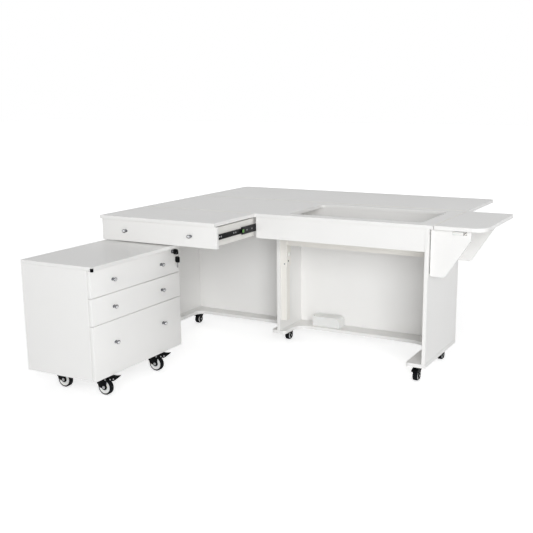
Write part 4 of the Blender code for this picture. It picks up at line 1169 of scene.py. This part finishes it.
class CABINET_OT_corner_bumper(bpy.types.Operator):
    """A small black L-shaped piece round the near front corner of the caddy's top: painted shade for the dark
    gap that the top's overhang leaves there
    """

    bl_idname = "cabinet.corner_bumper"
    bl_label = "Corner shade"
    bl_options = {"REGISTER", "UNDO"}

    # The black piece's two arms, along the top's end and along its front.
    END_ARM = 0.010
    FRONT_ARM = 0.008
    # How far its inner and outer faces stand out of the board, and its low and high edge below the top.
    INNER, OUTER = 0.0001, 0.0018
    LOW, HIGH = 0.021, 0.005

    def execute(self, context):
        low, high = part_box("caddy_top")
        back, side = high.x - self.END_ARM, low.y + self.FRONT_ARM
        outline = [
            (back, low.y - self.OUTER), (high.x + self.OUTER, low.y - self.OUTER),
            (high.x + self.OUTER, side), (high.x + self.INNER, side),
            (high.x + self.INNER, low.y - self.INNER), (back, low.y - self.INNER),
        ]
        # A black piece drawn where there is only the shade of a gap: painted shade.
        shade_piece = cut("caddy_corner_shade", outline, "Z", high.z - self.LOW, high.z - self.HIGH, edge=0.0006)
        settle(shade_piece, "caddy", "black_plastic")
        return {"FINISHED"}


class CABINET_OT_studio(bpy.types.Operator):
    """Pale floor, soft lamps and the camera of the photograph"""

    bl_idname = "cabinet.studio"
    bl_label = "Studio"
    bl_options = {"REGISTER", "UNDO"}

    # Just under the wheels.
    FLOOR = -0.0005
    # Distances from the middle between which the floor's white grows to full.
    GLOW_FROM, GLOW_TO = 1.2, 7.0
    # Daylight white, a little cool.
    LIGHT = (0.98, 0.99, 1.0)
    FRAME_MM = 36

    def execute(self, context):
        sizes = context.scene.studio_sizes
        self.floor(sizes)
        self.world(context.scene, sizes)
        self.lamp("key_lamp", sizes.key_power, at=(3.9, -6.3, 2.2), aim=(0, 0, 0.5), side=4.0)
        self.lamp("top_lamp", sizes.top_power, at=(0, 0, 4.5), aim=(0, 0, 0.7), side=4.0)
        place, aim = (3.0, 0.3, 1.5), (0.65, 0.25, 0.45)
        self.lamp("side_lamp", sizes.side_power, at=place, aim=aim, side=1.2, spread=34)
        self.camera(context.scene, sizes)
        context.scene.view_settings.view_transform = "Standard"
        return {"FINISHED"}

    def floor(self, sizes):
        begin()
        bpy.ops.mesh.primitive_plane_add(size=sizes.floor_size, location=(0, 0, self.FLOOR))
        floor = placed("studio_floor")
        floor.data.materials.append(finish("painted_floor", self.painted_floor))

    def painted_floor(self, tree, shader):
        """Matt white paint; to the lens, mirrors and glass it is whiter, the more so far from the lamps."""
        pattern(tree, shader, colours().floor, 900, 6, (0.7, 0.8), 0.00002, (0.995, 1.005))
        shader.inputs["Specular IOR Level"].default_value = 0.2
        place = add(tree, "ShaderNodeTexCoord").outputs["Object"]
        away = add(tree, "ShaderNodeVectorMath", {0: place}, operation="LENGTH").outputs["Value"]
        white = add(
            tree, "ShaderNodeMapRange",
            {
                "Value": away, "From Min": self.GLOW_FROM, "From Max": self.GLOW_TO,
                "To Min": bpy.context.scene.studio_sizes.glow, "To Max": 1.0,
            },
            interpolation_type="SMOOTHSTEP",
        )
        level = add(tree, "ShaderNodeMath", {0: seen(tree), 1: white.outputs["Result"]}, operation="MULTIPLY")
        shader.inputs["Emission Color"].default_value = (1, 1, 1, 1)
        tree.links.new(level.outputs[0], shader.inputs["Emission Strength"])

    def world(self, scene, sizes):
        """Plain white to the lens, mirrors and glass, and an even fill to the object."""
        world = bpy.data.worlds.new("studio")
        scene.world = world
        world.use_nodes = True
        tree = world.node_tree
        level = add(tree, "ShaderNodeMapRange", {"Value": seen(tree), "To Min": sizes.fill, "To Max": 1.0})
        sky = tree.nodes["Background"]
        sky.inputs["Color"].default_value = (1, 1, 1, 1)
        tree.links.new(level.outputs["Result"], sky.inputs["Strength"])

    def lamp(self, name, power, at, aim, side, spread=180):
        """A square lamp; its spread is in degrees."""
        begin()
        bpy.ops.object.light_add(type="AREA", location=at)
        lamp = bpy.context.object
        lamp.name = name
        lamp.data.energy = power
        lamp.data.size = side
        lamp.data.spread = math.radians(spread)
        lamp.data.color = self.LIGHT
        lamp.rotation_euler = (Vector(aim) - Vector(at)).to_track_quat("-Z", "Y").to_euler()

    def camera(self, scene, sizes):
        begin()
        bpy.ops.object.camera_add(location=sizes.camera_place)
        camera = bpy.context.object
        camera.name = "photograph_camera"
        yaw, pitch, roll = sizes.camera_yaw, sizes.camera_pitch, sizes.camera_roll
        ahead = Vector((-math.sin(yaw) * math.cos(pitch), math.cos(yaw) * math.cos(pitch), -math.sin(pitch)))
        right = Vector((math.cos(yaw), math.sin(yaw), 0))
        down = ahead.cross(right)
        turned_right = math.cos(roll) * right + math.sin(roll) * down
        turned_down = math.cos(roll) * down - math.sin(roll) * right
        camera.matrix_world = (
            Matrix.Translation(sizes.camera_place)
            @ Matrix((turned_right, -turned_down, -ahead)).transposed().to_4x4()
        )
        camera.data.sensor_width = self.FRAME_MM
        camera.data.lens = sizes.camera_lens
        camera.data.shift_x, camera.data.shift_y = sizes.camera_shift
        scene.camera = camera


class CABINET_PT_sidebar(bpy.types.Panel):
    """The cabinet's pieces, finishes and studio"""

    bl_idname = "CABINET_PT_sidebar"
    bl_label = "Sewing cabinet"
    bl_space_type = "VIEW_3D"
    bl_region_type = "UI"
    bl_category = "Cabinet"

    def draw(self, context):
        for operator in OPERATORS:
            self.layout.operator(operator.bl_idname)
        for group in GROUPS:
            settings = getattr(context.scene, group)
            for name in settings.__annotations__:
                self.layout.prop(settings, name)


GROUPS = {
    "cabinet_colours": CabinetColours,
    "caster_sizes": CasterSizes,
    "fitting_sizes": FittingSizes,
    "studio_sizes": StudioSizes,
}
OPERATORS = (
    CABINET_OT_studio,
    CABINET_OT_boards,
    CABINET_OT_casters,
    CABINET_OT_caddy_drawers,
    CABINET_OT_knobs,
    CABINET_OT_lock,
    CABINET_OT_hinges,
    CABINET_OT_slides,
    CABINET_OT_bracket_catches,
    CABINET_OT_lift,
    CABINET_OT_corner_bumper,
)
CLASSES = (*GROUPS.values(), *OPERATORS, CABINET_PT_sidebar)


def register():
    for made in CLASSES:
        bpy.utils.register_class(made)
    for name, group in GROUPS.items():
        setattr(bpy.types.Scene, name, PointerProperty(type=group))


def unregister():
    for name in GROUPS:
        delattr(bpy.types.Scene, name)
    for made in reversed(CLASSES):
        bpy.utils.unregister_class(made)


def main():
    register()
    bpy.ops.cabinet.studio()
    bpy.ops.cabinet.boards()
    bpy.ops.cabinet.casters()
    bpy.ops.cabinet.caddy_drawers()
    bpy.ops.cabinet.knobs()
    bpy.ops.cabinet.lock()
    bpy.ops.cabinet.hinges()
    bpy.ops.cabinet.slides()
    bpy.ops.cabinet.bracket_catches()
    bpy.ops.cabinet.lift()
    bpy.ops.cabinet.corner_bumper()


if __name__ == "__main__":
    main()
